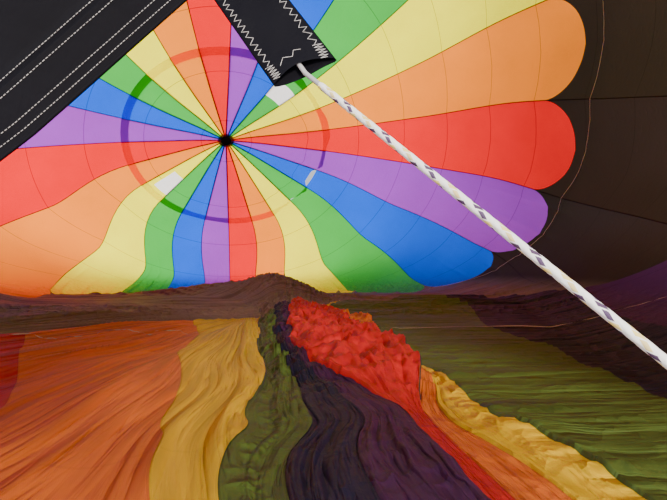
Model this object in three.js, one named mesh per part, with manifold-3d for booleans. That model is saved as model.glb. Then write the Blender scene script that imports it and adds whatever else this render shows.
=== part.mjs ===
// Hot air balloon envelope, lying on its side and part-filled with air.
// Millimetres. +X is to the right seen from the mouth, +Y runs from mouth to crown, +Z is up.
// The origin is on the ground at the centre of the mouth's lower lip.

import * as THREE from 'three';
import * as BufferGeometryUtils from 'three/addons/utils/BufferGeometryUtils.js';
import Module from 'manifold-3d';

const wasm = await Module();
wasm.setup();

// Driving dimensions
const goreCount = 24;
const goreLength = 21600; // along the cloth, crown centre to mouth
const clothThickness = 10;
const seamGap = 0.3;
const crownOpening = 2400; // along the cloth, crown centre to the gores' upper edge
const parachuteRadius = 2600; // overlaps the gores' edge by 200
const parachuteGap = 1.2; // rests this far inside the gores
const crownDrift = -700; // the crown lies this far to the left of the mouth
const throatSwing = 350; // the lower half swings this far to the right
const columnsPerGore = 4;
const topSeam = 18; // number of the seam at 12 o'clock; seam 0 is at 3 o'clock

// Outline of the part-filled envelope at distances s along the cloth from the crown's centre.
// Top, side and floor are the meridians at 12, 3 and 6 o'clock; below zero the floor is flat.
const stations = [
  { s: 0, yTop: 12900, zTop: 3850, xSide: 0, ySide: 12900, zSide: 3850, yFloor: 12900, zFloor: 3850, square: 0, gore: 0 },
  { s: 2600, yTop: 10850, zTop: 5400, xSide: 2550, ySide: 12780, zSide: 3620, yFloor: 14500, zFloor: 1880, square: 0, gore: 670 },
  { s: 5300, yTop: 9200, zTop: 7500, xSide: 4700, ySide: 12300, zSide: 3450, yFloor: 15300, zFloor: 150, square: 0.2, gore: 1310 },
  { s: 8000, yTop: 7300, zTop: 9400, xSide: 6050, ySide: 10900, zSide: 3000, yFloor: 13400, zFloor: -150, square: 0.5, gore: 1800 },
  { s: 10700, yTop: 4800, zTop: 10300, xSide: 6450, ySide: 8600, zSide: 2500, yFloor: 11000, zFloor: -250, square: 0.7, gore: 2100 },
  { s: 14600, yTop: 1600, zTop: 8600, xSide: 5350, ySide: 5000, zSide: 1800, yFloor: 7000, zFloor: -200, square: 0.7, gore: 1850 },
  { s: 18000, yTop: 500, zTop: 5400, xSide: 3600, ySide: 2400, zSide: 1100, yFloor: 3600, zFloor: -120, square: 0.6, gore: 1200 },
  { s: 21600, yTop: 0, zTop: 2000, xSide: 1600, ySide: 0, zSide: 800, yFloor: 0, zFloor: -50, square: 0.5, gore: 480 },
];

// Direction in which each meridian leaves the crown's centre, and how fast a gore widens there
const crownSlopes = {
  yTop: -0.75, zTop: 0.66, xSide: 1, ySide: 0, zSide: 0, yFloor: 0.75, zFloor: -0.66, square: 0, gore: 0.26,
};

// Share of its full width that each lower gore keeps where the loose cloth is bunched together.
const bunchingStations = [2600, 5300, 9000, 12500, 15500, 17000, 18500, 20000, 21300];
const bunching = [
  { gore: 0, shares: [1, 1, 1, 0.9, 0.38, 1.24, 1.17, 0.32, 1.79] },
  { gore: 1, shares: [1, 1, 1, 0.85, 0.42, 1.21, 1.19, 0.33, 1.79] },
  { gore: 2, shares: [1, 1.1, 0.9, 0.65, 2.2, 0.79, 1.51, 0.56, 1.79] },
  { gore: 3, shares: [1, 0.92, 0.7, 0.3, 0.06, 0.06, 0.06, 0.12, 0.78] },
  { gore: 4, shares: [1, 0.65, 0.5, 0.16, 0.08, 0.33, 0.08, 0.06, 0.68] },
  { gore: 5, shares: [1, 0.55, 0.45, 0.2, 0.16, 0.71, 1.08, 0.06, 0.43] },
  { gore: 6, shares: [1, 0.53, 0.45, 0.12, 0.07, 0.06, 0.06, 0.12, 1.14] },
  { gore: 7, shares: [1, 0.65, 0.5, 0.12, 0.06, 0.06, 0.06, 0.13, 0.91] },
  { gore: 8, shares: [1, 0.6, 0.5, 0.16, 0.09, 0.15, 0.18, 0.16, 0.68] },
  { gore: 9, shares: [1, 1, 0.75, 0.5, 0.51, 0.52, 0.73, 0.2, 0.58] },
  { gore: 10, shares: [1, 1.2, 1.05, 1.15, 1.03, 1.34, 1.27, 0.39, 2.08] },
  { gore: 11, shares: [1, 1.2, 1.1, 1.3, 1.57, 2, 2.2, 0.58, 2.12] },
];

// Height of the ridge that the bunched cloth makes on the ground, at distances s
const ridge = [
  { s: 8500, height: 0 },
  { s: 12200, height: 480 },
  { s: 14500, height: 330 },
  { s: 17500, height: 220 },
  { s: 20500, height: 60 },
  { s: 21600, height: 0 },
];
const ridgeSeam = 6.5;
const ridgeHalfWidth = 2.6; // in gores

const hemDepth = 80;
const goreBulge = 0.07; // height of a filled gore's bow, as a share of its width

const colors = {
  violet: 0x8a52a8,
  blue: 0x1f6fc4,
  green: 0x5fae5c,
  yellow: 0xf0e05a,
  orange: 0xf08a3c,
  red: 0xe8313c,
  black: 0x23242a,
  white: 0xe8e6dc,
  steel: 0xa9adb3,
};
const goreColors = ['violet', 'blue', 'green', 'yellow', 'orange', 'red'];

const balloon = new THREE.Group();
balloon.name = 'hot_air_balloon_envelope';

function material(color, roughness = 0.6, metalness = 0) {
  return new THREE.MeshStandardMaterial({ color: colors[color], roughness, metalness });
}

function add(name, geometry, surfaceMaterial) {
  const mesh = new THREE.Mesh(geometry, surfaceMaterial);
  mesh.name = name;
  balloon.add(mesh);
  return mesh;
}

// Solids that are joined or cut

function toSolid(geometry) {
  const bare = geometry.clone();
  bare.deleteAttribute('normal');
  bare.deleteAttribute('uv');
  const merged = BufferGeometryUtils.mergeVertices(bare, 1e-4);
  const vertProperties = new Float32Array(merged.attributes.position.array);
  const triVerts = new Uint32Array(merged.index.array);
  return new wasm.Manifold(new wasm.Mesh({ numProp: 3, vertProperties, triVerts }));
}

function toGeometry(solid) {
  const mesh = solid.getMesh();
  const geometry = new THREE.BufferGeometry();
  geometry.setAttribute('position', new THREE.BufferAttribute(mesh.vertProperties, 3));
  geometry.setIndex(new THREE.BufferAttribute(mesh.triVerts, 1));
  return geometry;
}

function join(geometries) {
  const solids = geometries.map(toSolid);
  return solids.reduce((whole, piece) => whole.add(piece));
}

// Shape of the envelope

const sectionSamples = 240;

function smoothStep(x, low, high) {
  const t = THREE.MathUtils.clamp((x - low) / (high - low), 0, 1);
  return t * t * (3 - 2 * t);
}

// Cubic curve through the stations, with a parabola's slope at the mouth
function stationAt(s) {
  const last = stations.length - 1;
  let i = 0;
  while (i < last - 1 && s > stations[i + 1].s) i += 1;
  const low = stations[i];
  const high = stations[i + 1];
  const step = high.s - low.s;
  const t = (s - low.s) / step;
  const result = { s };
  for (const key of Object.keys(crownSlopes)) {
    const rise = (high[key] - low[key]) / step;
    const before = i > 0 ? stations[i - 1] : null;
    const after = i < last - 1 ? stations[i + 2] : null;
    const slopeLow = before ? (high[key] - before[key]) / (high.s - before.s) : crownSlopes[key];
    const slopeHigh = after ? (after[key] - low[key]) / (after.s - low.s) : 2 * rise - slopeLow;
    result[key] = (2 * t ** 3 - 3 * t ** 2 + 1) * low[key]
      + (t ** 3 - 2 * t ** 2 + t) * step * slopeLow
      + (3 * t ** 2 - 2 * t ** 3) * high[key]
      + (t ** 3 - t ** 2) * step * slopeHigh;
  }
  return result;
}

// Sideways place of the section's middle at s
function middleLine(s) {
  return crownDrift * (1 - s / goreLength) + throatSwing * Math.sin(Math.PI * smoothStep(s, 6000, goreLength));
}

// Closed section at s: the angle runs clockwise from 12 o'clock, as seen from the mouth
function sectionPoint(at, angle) {
  const c = Math.cos(angle);
  const n = Math.sin(angle);
  const upper = c >= 0;
  const power = upper ? 1 : 1 - 0.5 * at.square;
  const across = Math.sign(n) * Math.abs(n) ** power;
  const along = Math.abs(c) ** power;
  const yEnd = upper ? at.yTop : at.yFloor;
  const zEnd = upper ? at.zTop : at.zFloor;
  return new THREE.Vector3(
    at.xSide * across + middleLine(at.s),
    at.ySide + (yEnd - at.ySide) * along,
    Math.max(0, at.zSide + (zEnd - at.zSide) * along),
  );
}

function bunchedShare(gore, s) {
  const row = bunching.find((entry) => entry.gore === gore);
  if (!row || s <= bunchingStations[0]) return 1;
  let i = 0;
  while (i < bunchingStations.length - 2 && s > bunchingStations[i + 1]) i += 1;
  const t = smoothStep(s, bunchingStations[i], bunchingStations[i + 1]);
  return THREE.MathUtils.lerp(row.shares[i], row.shares[i + 1], t);
}

function ridgeHeight(s, seam) {
  const across = Math.max(0, 1 - ((seam - ridgeSeam) / ridgeHalfWidth) ** 2);
  let height = 0;
  for (let i = 0; i < ridge.length - 1; i += 1) {
    const low = ridge[i];
    const high = ridge[i + 1];
    if (s >= low.s && s <= high.s) {
      height = THREE.MathUtils.lerp(low.height, high.height, smoothStep(s, low.s, high.s));
    }
  }
  return height * across * across;
}

// The ring of points at s, with each gore's share of the outline's length worked out once
const rings = new Map();

function ringAt(s) {
  if (rings.has(s)) return rings.get(s);
  const at = stationAt(s);
  const points = [];
  const lengths = [0];
  for (let i = 0; i <= sectionSamples; i += 1) {
    points.push(sectionPoint(at, (i / sectionSamples) * 2 * Math.PI));
    if (i > 0) lengths.push(lengths[i - 1] + points[i].distanceTo(points[i - 1]));
  }
  const total = lengths[sectionSamples];
  const even = total / goreCount;
  const filled = THREE.MathUtils.clamp(at.gore, even, 1.35 * even);
  let shareSum = 0;
  for (let gore = 0; gore < goreCount / 2; gore += 1) shareSum += bunchedShare(gore, s);
  const loose = (total - (goreCount / 2) * filled) / shareSum;
  const seams = [0];
  for (let i = 0; i < goreCount; i += 1) {
    const gore = (topSeam + i) % goreCount;
    const width = gore < goreCount / 2 ? loose * bunchedShare(gore, s) : filled;
    seams.push(seams[i] + width);
  }
  const ring = { points, lengths, seams, filled };
  rings.set(s, ring);
  return ring;
}

// Point of the cloth's outer face at s, at a seam number that may lie between two seams
function surface(s, seam) {
  if (s < 1) return sectionPoint(stationAt(0), 0);
  const ring = ringAt(s);
  const fromTop = (((seam - topSeam) % goreCount) + goreCount) % goreCount;
  const gore = Math.min(Math.floor(fromTop), goreCount - 1);
  const part = fromTop - gore;
  const length = THREE.MathUtils.lerp(ring.seams[gore], ring.seams[gore + 1], part);
  let i = 0;
  while (i < sectionSamples - 1 && ring.lengths[i + 1] < length) i += 1;
  const t = (length - ring.lengths[i]) / (ring.lengths[i + 1] - ring.lengths[i]);
  const point = ring.points[i].clone().lerp(ring.points[i + 1], t);
  point.z += ridgeHeight(s, ((seam % goreCount) + goreCount) % goreCount);
  return point;
}

// Outward normal of the outline, without the gores' bow
function normalAt(s, seam) {
  const ds = 150;
  const across = surface(s, seam + 0.25).sub(surface(s, seam - 0.25));
  if (s >= goreLength) {
    return new THREE.Vector3(across.z, 0, -across.x).normalize().negate();
  }
  const along = surface(Math.min(s + ds, goreLength), seam).sub(surface(Math.max(s - ds, 50), seam));
  return new THREE.Vector3().crossVectors(along, across).normalize();
}

// Height of a filled gore's bow at s: none on the ground and at the ends
function bulgeHeight(s, seam) {
  const ends = smoothStep(s, crownOpening, 6000) * (1 - smoothStep(s, 15000, goreLength));
  const lifted = smoothStep(surface(s, seam).z, 300, 2000);
  const part = seam - Math.floor(seam);
  return goreBulge * ringAt(s).filled * ends * lifted * Math.sin(Math.PI * part);
}

// Closed sheet between an outer and an inner grid of points, row by row
function sheet(outer, inner, closedAcross = false) {
  const rows = outer.length;
  const columns = outer[0].length;
  const positions = [];
  for (const grid of [outer, inner]) {
    for (const row of grid) for (const point of row) positions.push(point.x, point.y, point.z);
  }
  const index = [];
  const vertex = (layer, row, column) => (layer * rows + row) * columns + (column % columns);
  const quad = (a, b, c, d) => index.push(a, b, c, a, c, d);
  const spans = closedAcross ? columns : columns - 1;
  for (let r = 0; r < rows - 1; r += 1) {
    for (let c = 0; c < spans; c += 1) {
      quad(vertex(0, r, c), vertex(0, r + 1, c), vertex(0, r + 1, c + 1), vertex(0, r, c + 1));
      quad(vertex(1, r, c), vertex(1, r, c + 1), vertex(1, r + 1, c + 1), vertex(1, r + 1, c));
    }
    if (!closedAcross) {
      const e = columns - 1;
      quad(vertex(0, r, 0), vertex(1, r, 0), vertex(1, r + 1, 0), vertex(0, r + 1, 0));
      index.push(vertex(0, r, e), vertex(0, r + 1, e), vertex(1, r + 1, e));
      index.push(vertex(0, r, e), vertex(1, r + 1, e), vertex(1, r, e));
    }
  }
  for (let c = 0; c < spans; c += 1) {
    const e = rows - 1;
    quad(vertex(0, 0, c), vertex(0, 0, c + 1), vertex(1, 0, c + 1), vertex(1, 0, c));
    quad(vertex(0, e, c), vertex(1, e, c), vertex(1, e, c + 1), vertex(0, e, c + 1));
  }
  const geometry = new THREE.BufferGeometry();
  geometry.setAttribute('position', new THREE.Float32BufferAttribute(positions, 3));
  geometry.setIndex(index);
  return geometry;
}

// Cylinder between two points
function rod(start, end, radius, sides) {
  const length = start.distanceTo(end);
  const geometry = new THREE.CylinderGeometry(radius, radius, length, sides);
  const direction = end.clone().sub(start).normalize();
  const turn = new THREE.Quaternion().setFromUnitVectors(new THREE.Vector3(0, 1, 0), direction);
  geometry.applyQuaternion(turn);
  const middle = start.clone().lerp(end, 0.5);
  return geometry.translate(middle.x, middle.y, middle.z);
}

// Gores

const goreRows = [crownOpening, parachuteRadius];
const goreSpans = 16;
for (let i = 1; i <= goreSpans; i += 1) {
  goreRows.push(THREE.MathUtils.lerp(parachuteRadius, goreLength, i / goreSpans));
}

function goreGeometry(gore) {
  const outer = [];
  const inner = [];
  for (const s of goreRows) {
    const outerRow = [];
    const innerRow = [];
    for (let c = 0; c <= columnsPerGore; c += 1) {
      const seam = gore + c / columnsPerGore;
      const normal = normalAt(s, seam);
      const point = surface(s, seam);
      if (c > 0 && c < columnsPerGore) point.addScaledVector(normal, bulgeHeight(s, seam));
      if (c === 0 || c === columnsPerGore) {
        const side = surface(s, seam + 0.1).sub(surface(s, seam - 0.1)).normalize();
        point.addScaledVector(side, (c === 0 ? 0.5 : -0.5) * seamGap);
      }
      outerRow.push(point);
      innerRow.push(point.clone().addScaledVector(normal, -clothThickness));
    }
    outer.push(outerRow);
    inner.push(innerRow);
  }
  return sheet(outer, inner);
}

for (let gore = 0; gore < goreCount; gore += 1) {
  const number = String(gore + 1).padStart(2, '0');
  add(`gore_${number}`, goreGeometry(gore), material(goreColors[gore % goreColors.length]));
}

// Parachute valve panel that closes the crown from inside, with its black centre patch

const patchRadius = 130;
const patchThickness = 6;
const parachuteRows = [patchRadius, 800, 1550, crownOpening, parachuteRadius];
const parachuteColumns = 2 * goreCount;

function layerPoint(s, seam, depth) {
  return surface(s, seam).addScaledVector(normalAt(Math.max(s, 200), seam), -depth);
}

const crownCentre = surface(0, 0);
const crownNormal = new THREE.Vector3(0, crownSlopes.zTop, -crownSlopes.yTop).normalize();

// Round sheet at a depth inside the crown, from its centre out to the last row
function crownSheet(rows, depth, thickness) {
  const positions = [];
  const index = [];
  const columns = parachuteColumns;
  for (const layerDepth of [depth, depth + thickness]) {
    const centre = crownCentre.clone().addScaledVector(crownNormal, -layerDepth);
    positions.push(centre.x, centre.y, centre.z);
    for (const s of rows) {
      for (let c = 0; c < columns; c += 1) {
        const point = layerPoint(s, (c * goreCount) / columns, layerDepth);
        positions.push(point.x, point.y, point.z);
      }
    }
  }
  const layerSize = 1 + rows.length * columns;
  const vertex = (layer, row, c) => layer * layerSize + 1 + row * columns + (c % columns);
  const last = rows.length - 1;
  for (let c = 0; c < columns; c += 1) {
    index.push(0, vertex(0, 0, c), vertex(0, 0, c + 1));
    index.push(layerSize, vertex(1, 0, c + 1), vertex(1, 0, c));
    for (let r = 0; r < last; r += 1) {
      index.push(vertex(0, r, c), vertex(0, r + 1, c), vertex(0, r + 1, c + 1));
      index.push(vertex(0, r, c), vertex(0, r + 1, c + 1), vertex(0, r, c + 1));
      index.push(vertex(1, r, c), vertex(1, r + 1, c + 1), vertex(1, r + 1, c));
      index.push(vertex(1, r, c), vertex(1, r, c + 1), vertex(1, r + 1, c + 1));
    }
    index.push(vertex(0, last, c), vertex(1, last, c), vertex(1, last, c + 1));
    index.push(vertex(0, last, c), vertex(1, last, c + 1), vertex(0, last, c + 1));
  }
  const geometry = new THREE.BufferGeometry();
  geometry.setAttribute('position', new THREE.Float32BufferAttribute(positions, 3));
  geometry.setIndex(index);
  return geometry;
}

const parachuteDepth = clothThickness + parachuteGap;
add('parachute_panel', crownSheet(parachuteRows, parachuteDepth, clothThickness), material('yellow'));
add(
  'parachute_centre_patch',
  crownSheet([patchRadius], parachuteDepth + clothThickness + seamGap, patchThickness),
  material('black'),
);

// Crown ring with the tapes that run from it to the gores' seams

const ringOuterRadius = 200;
const ringInnerRadius = 70;
const ringThickness = 8;
const crownTapeWidth = 30;
const crownTapeThickness = 6;
const crownTapeRows = [150, 800, 1550, crownOpening - 0.8];

function crownTape(seam) {
  const outer = [];
  const inner = [];
  for (const s of crownTapeRows) {
    const middle = surface(s, seam);
    const normal = normalAt(s, seam);
    const side = surface(s, seam + 0.1).sub(surface(s, seam - 0.1)).normalize();
    const row = [-0.5, 0.5].map((t) => middle.clone().addScaledVector(side, t * crownTapeWidth));
    outer.push(row);
    inner.push(row.map((point) => point.clone().addScaledVector(normal, -crownTapeThickness)));
  }
  return sheet(outer, inner);
}

const ringShape = new THREE.Shape().absarc(0, 0, ringOuterRadius, 0, 2 * Math.PI);
ringShape.holes.push(new THREE.Path().absarc(0, 0, ringInnerRadius, 0, 2 * Math.PI));
const ringGeometry = new THREE.ExtrudeGeometry(ringShape, { depth: ringThickness, bevelEnabled: false });
const ringTurn = new THREE.Quaternion().setFromUnitVectors(new THREE.Vector3(0, 0, 1), crownNormal);
const ringBase = crownCentre.clone().addScaledVector(crownNormal, -crownTapeThickness);
ringGeometry.applyQuaternion(ringTurn).translate(ringBase.x, ringBase.y, ringBase.z);
const crownPieces = [ringGeometry];
for (let seam = 0; seam < goreCount; seam += 1) crownPieces.push(crownTape(seam));
add('crown_ring_and_tapes', toGeometry(join(crownPieces)), material('black', 0.7));

// Hem band round the mouth

const hemColumns = goreCount * columnsPerGore;
const hemOuter = [[], []];
const hemInner = [[], []];
for (let c = 0; c < hemColumns; c += 1) {
  const seam = (c * goreCount) / hemColumns;
  const point = surface(goreLength, seam);
  const normal = normalAt(goreLength, seam);
  [-seamGap, -hemDepth].forEach((y, row) => {
    const outerPoint = point.clone().setY(y);
    hemOuter[row].push(outerPoint);
    hemInner[row].push(outerPoint.clone().addScaledVector(normal, -clothThickness));
  });
}
add('mouth_hem_band', sheet(hemOuter, hemInner, true), material('black', 0.8));

// Scoop panel: black cloth sewn to the hem's upper left, with a straight free edge inside the mouth

const scoopFirstSeam = 18.75;
const scoopLastSeam = 12.25;
const scoopColumns = 13;
const scoopRows = 4;
const scoopEdgeTop = new THREE.Vector3(300, 220, 1930);
const scoopEdgeBottom = new THREE.Vector3(-1400, 220, 340);
const scoopEdgeEnds = 60; // the free edge comes back towards the hem at its two ends

function scoopEdge(t) {
  const point = scoopEdgeTop.clone().lerp(scoopEdgeBottom, t);
  point.y = THREE.MathUtils.lerp(scoopEdgeEnds, scoopEdgeTop.y, 1 - (2 * t - 1) ** 4);
  return point;
}

const scoopFront = [];
for (let r = 0; r <= scoopRows; r += 1) {
  const row = [];
  for (let c = 0; c <= scoopColumns; c += 1) {
    const t = c / scoopColumns;
    const seam = THREE.MathUtils.lerp(scoopFirstSeam, scoopLastSeam, t);
    const root = surface(goreLength, seam);
    root.addScaledVector(normalAt(goreLength, seam), -clothThickness - 0.5).setY(-hemDepth / 2);
    row.push(root.lerp(scoopEdge(t), r / scoopRows));
  }
  scoopFront.push(row);
}
const scoopBack = scoopFront.map((row) => row.map((p) => p.clone().setY(p.y + clothThickness)));
add('scoop_panel', sheet(scoopBack, scoopFront), material('black', 0.8));

// Strap sewn to the scoop's free edge, and the rope that it holds

const strapWidth = 77;
const strapThickness = 6;
const strapRootShare = 0.568; // place along the scoop's free edge
const strapEnd = new THREE.Vector3(-557, 130, 888);
const strapFace = new THREE.Vector3(-0.2, -0.98, 0);
const ropeRadius = 4.5;
const ropeFoot = new THREE.Vector3(100, -695, 11.8);

const edgeDirection = scoopEdgeBottom.clone().sub(scoopEdgeTop).setY(0).normalize();
const awayFromPanel = new THREE.Vector3(-edgeDirection.z, 0, edgeDirection.x);
if (awayFromPanel.x < 0) awayFromPanel.negate();
const strapRoot = scoopEdge(strapRootShare);
strapRoot.addScaledVector(awayFromPanel, seamGap).setY(strapRoot.y + clothThickness / 2);
const strapDirection = strapEnd.clone().sub(strapRoot).normalize();
const strapSide = new THREE.Vector3().crossVectors(strapDirection, strapFace).normalize();
const strapNormal = new THREE.Vector3().crossVectors(strapSide, strapDirection).normalize();
const strapSlant = strapWidth / 2 / Math.abs(strapSide.dot(edgeDirection));
const rootSide = edgeDirection.clone().multiplyScalar(Math.sign(strapSide.dot(edgeDirection)));
const strapFront = [
  [-1, 1].map((t) => strapRoot.clone().addScaledVector(rootSide, t * strapSlant)
    .setY(strapRoot.y - strapThickness / 2)),
  [-1, 1].map((t) => strapEnd.clone().addScaledVector(strapSide, (t * strapWidth) / 2)
    .addScaledVector(strapNormal, strapThickness / 2)),
];
const strapBack = [
  strapFront[0].map((p) => p.clone().setY(p.y + strapThickness)),
  strapFront[1].map((p) => p.clone().addScaledVector(strapNormal, -strapThickness)),
];
add('scoop_strap', sheet(strapBack, strapFront), material('black', 0.85));

const ropeDirection = ropeFoot.clone().sub(strapEnd).normalize();
const ropeStart = strapEnd.clone().addScaledVector(ropeDirection, 0.9);
add('scoop_rope', rod(ropeStart, ropeFoot, ropeRadius, 10), material('white', 0.8));

// Karabiners: a flat C with a lapped hinge pin, and its gate

const karabinerBar = 12;
const karabinerThickness = 10;
const pinRadius = 2.5;
const lapRadius = 6;

function roundedOutline(width, length, radius) {
  const shape = new THREE.Shape();
  const x = width / 2;
  const y = length / 2;
  shape.moveTo(-x + radius, -y);
  shape.lineTo(x - radius, -y);
  shape.absarc(x - radius, -y + radius, radius, -Math.PI / 2, 0);
  shape.lineTo(x, y - radius);
  shape.absarc(x - radius, y - radius, radius, 0, Math.PI / 2);
  shape.lineTo(-x + radius, y);
  shape.absarc(-x + radius, y - radius, radius, Math.PI / 2, Math.PI);
  shape.lineTo(-x, -y + radius);
  shape.absarc(-x + radius, -y + radius, radius, Math.PI, 1.5 * Math.PI);
  return shape;
}

function plate(shape, low, high) {
  const geometry = new THREE.ExtrudeGeometry(shape, { depth: high - low, bevelEnabled: false, curveSegments: 3 });
  return geometry.translate(0, 0, low);
}

function disc(x, y, radius, low, high) {
  const geometry = new THREE.CylinderGeometry(radius, radius, high - low, 16);
  return geometry.rotateX(Math.PI / 2).translate(x, y, (low + high) / 2);
}

function block(x0, x1, y0, y1, z0, z1) {
  const geometry = new THREE.BoxGeometry(x1 - x0, y1 - y0, z1 - z0);
  return geometry.translate((x0 + x1) / 2, (y0 + y1) / 2, (z0 + z1) / 2);
}

function karabiner(width, length) {
  const gateX = width / 2 - karabinerBar / 2;
  const hingeY = -length / 2 + 34;
  const noseY = length / 2 - 30;
  const half = karabinerThickness / 2;
  const opening = roundedOutline(width - 2 * karabinerBar, length - 2 * karabinerBar, 12);
  const frame = toSolid(plate(roundedOutline(width, length, 24), 0, karabinerThickness))
    .subtract(toSolid(plate(opening, -1, karabinerThickness + 1)))
    .subtract(toSolid(block(gateX - 15, gateX + 15, hingeY - lapRadius - 0.5, noseY, -1, 20)))
    .add(toSolid(disc(gateX, hingeY, lapRadius, 0, half - 0.3)))
    .add(toSolid(block(gateX - 4, gateX + 4, hingeY - lapRadius - 2, hingeY, 0, half - 0.3)))
    .add(toSolid(disc(gateX, hingeY, pinRadius, 0, karabinerThickness)));
  const gate = toSolid(block(gateX - 5, gateX + 5, hingeY + lapRadius + 0.8, noseY - 1.2, 0, karabinerThickness))
    .add(toSolid(disc(gateX, hingeY, lapRadius, half, karabinerThickness)))
    .add(toSolid(block(gateX - 5, gateX + 5, hingeY, hingeY + lapRadius + 3, half, karabinerThickness)))
    .subtract(toSolid(disc(gateX, hingeY, pinRadius + 0.3, -1, karabinerThickness + 1)));
  return { frame: toGeometry(frame), gate: toGeometry(gate) };
}

// Four groups of flying wires from the hem to their karabiners on the ground

const karabinerWidth = 76;
const karabinerLength = 120;
const karabinerRow = -2860; // centre of the karabiners
const wireRadius = 3;
const swageLength = 26;
const wireGroups = [
  { name: 'lower_right', firstSeam: 1, x: 760 },
  { name: 'lower_left', firstSeam: 7, x: -760 },
  { name: 'upper_left', firstSeam: 13, x: -1500 },
  { name: 'upper_right', firstSeam: 19, x: 1500 },
];
const wiresPerGroup = goreCount / wireGroups.length;

for (const group of wireGroups) {
  const swageY = karabinerRow + karabinerLength / 2 + seamGap;
  const swage = block(group.x - 18, group.x + 18, swageY, swageY + swageLength, 0, 14);
  const meeting = new THREE.Vector3(group.x, swageY + swageLength / 2, 7);
  const pieces = [swage];
  for (let i = 0; i < wiresPerGroup; i += 1) {
    const seam = group.firstSeam + i;
    const lug = surface(goreLength, seam).addScaledVector(normalAt(goreLength, seam), -clothThickness / 2);
    lug.setY(-hemDepth - seamGap - 5);
    lug.setZ(Math.max(lug.z, 6));
    pieces.push(block(lug.x - 6, lug.x + 6, lug.y - 5, lug.y + 5, lug.z - 6, lug.z + 6));
    pieces.push(rod(lug, meeting, wireRadius, 6));
  }
  add(`flying_wires_${group.name}`, toGeometry(join(pieces)), material('steel', 0.35, 1));
  const { frame, gate } = karabiner(karabinerWidth, karabinerLength);
  frame.translate(group.x, karabinerRow, 0);
  gate.translate(group.x, karabinerRow, 0);
  add(`karabiner_${group.name}`, frame, material('steel', 0.3, 1));
  add(`karabiner_gate_${group.name}`, gate, material('steel', 0.3, 1));
}

// Small clip on the ground at the rope's foot

const clipWidth = 36;
const clipLength = 70;
const clipBar = 8;
const clipThickness = 8;
const clipOutline = roundedOutline(clipWidth, clipLength, 14);
clipOutline.holes.push(roundedOutline(clipWidth - 2 * clipBar, clipLength - 2 * clipBar, 8));
const clip = plate(clipOutline, 0, clipThickness);
const clipHeading = Math.atan2(ropeDirection.y, ropeDirection.x) - Math.PI / 2;
clip.translate(0, clipLength / 2 - clipBar / 2, 0);
clip.rotateZ(clipHeading);
clip.translate(ropeFoot.x, ropeFoot.y, 0);
add('rope_clip', clip, material('steel', 0.3, 1));

export default balloon;
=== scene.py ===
import bmesh
import bpy
import math
import numpy as np
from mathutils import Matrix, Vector


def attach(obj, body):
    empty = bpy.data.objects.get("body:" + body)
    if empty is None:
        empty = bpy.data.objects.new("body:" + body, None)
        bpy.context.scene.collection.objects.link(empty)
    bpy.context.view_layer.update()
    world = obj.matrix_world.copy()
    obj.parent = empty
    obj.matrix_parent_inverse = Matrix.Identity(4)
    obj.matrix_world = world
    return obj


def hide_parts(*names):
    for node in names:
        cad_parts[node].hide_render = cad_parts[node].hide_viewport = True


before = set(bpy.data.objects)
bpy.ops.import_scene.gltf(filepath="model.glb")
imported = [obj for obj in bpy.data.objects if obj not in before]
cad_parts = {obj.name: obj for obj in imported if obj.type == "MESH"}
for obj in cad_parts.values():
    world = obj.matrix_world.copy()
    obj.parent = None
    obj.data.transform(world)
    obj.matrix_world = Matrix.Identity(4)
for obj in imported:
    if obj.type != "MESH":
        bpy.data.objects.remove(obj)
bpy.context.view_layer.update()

# Camera. The photographer stands half a metre outside the mouth, a little left of its
# middle, and looks up the envelope to its crown, with a 28 mm wide-angle view.
photo_width, photo_focal = 667, 523  # pixels
camera_pitch, camera_heading = 1.86, -11.5  # degrees up, and to the right of the mouth's axis


def add_object(name, data):
    """Adds an object to the scene."""
    made = bpy.data.objects.new(name, data)
    bpy.context.scene.collection.objects.link(made)
    return made


camera_data = bpy.data.cameras.new("photo_camera")
camera_data.sensor_width = 36
camera_data.lens = photo_focal / photo_width * camera_data.sensor_width
camera_data.clip_start = 0.02
camera_data.clip_end = 400
camera = add_object("photo_camera", camera_data)
camera.location = (-0.65, -0.5, 0.65)
camera.rotation_euler = (math.radians(90 + camera_pitch), 0, math.radians(camera_heading))
bpy.context.scene.camera = camera

# Floor and light. A plain pale studio floor, with soft daylight all round and light into the
# mouth. A stronger soft light behind the crown's upper left makes the cloth glow from outside,
# as in the photo.


def linear(hex_colour):
    """sRGB hex to linear, with alpha."""
    channels = [int(hex_colour[i:i + 2], 16) / 255 for i in (0, 2, 4)]
    return [c / 12.92 if c <= 0.04045 else ((c + 0.055) / 1.055) ** 2.4 for c in channels] + [1.0]


def node(tree, kind, inputs=None, **settings):
    """Adds a node, with its settings, its values and the links into it."""
    made = tree.nodes.new(kind)
    for name, value in settings.items():
        setattr(made, name, value)
    for socket, value in (inputs or {}).items():
        if isinstance(value, bpy.types.NodeSocket):
            tree.links.new(value, made.inputs[socket])
        else:
            made.inputs[socket].default_value = value
    return made


def smooth_mesh(name, points, edges, faces):
    """A new mesh, shaded smooth."""
    made = bpy.data.meshes.new(name)
    made.from_pydata(points, edges, faces)
    made.shade_smooth()
    return made


def new_material(name):
    """An empty material with its tree."""
    made = bpy.data.materials.new(name)
    made.use_nodes = True
    made.node_tree.nodes.clear()
    return made, made.node_tree


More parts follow.
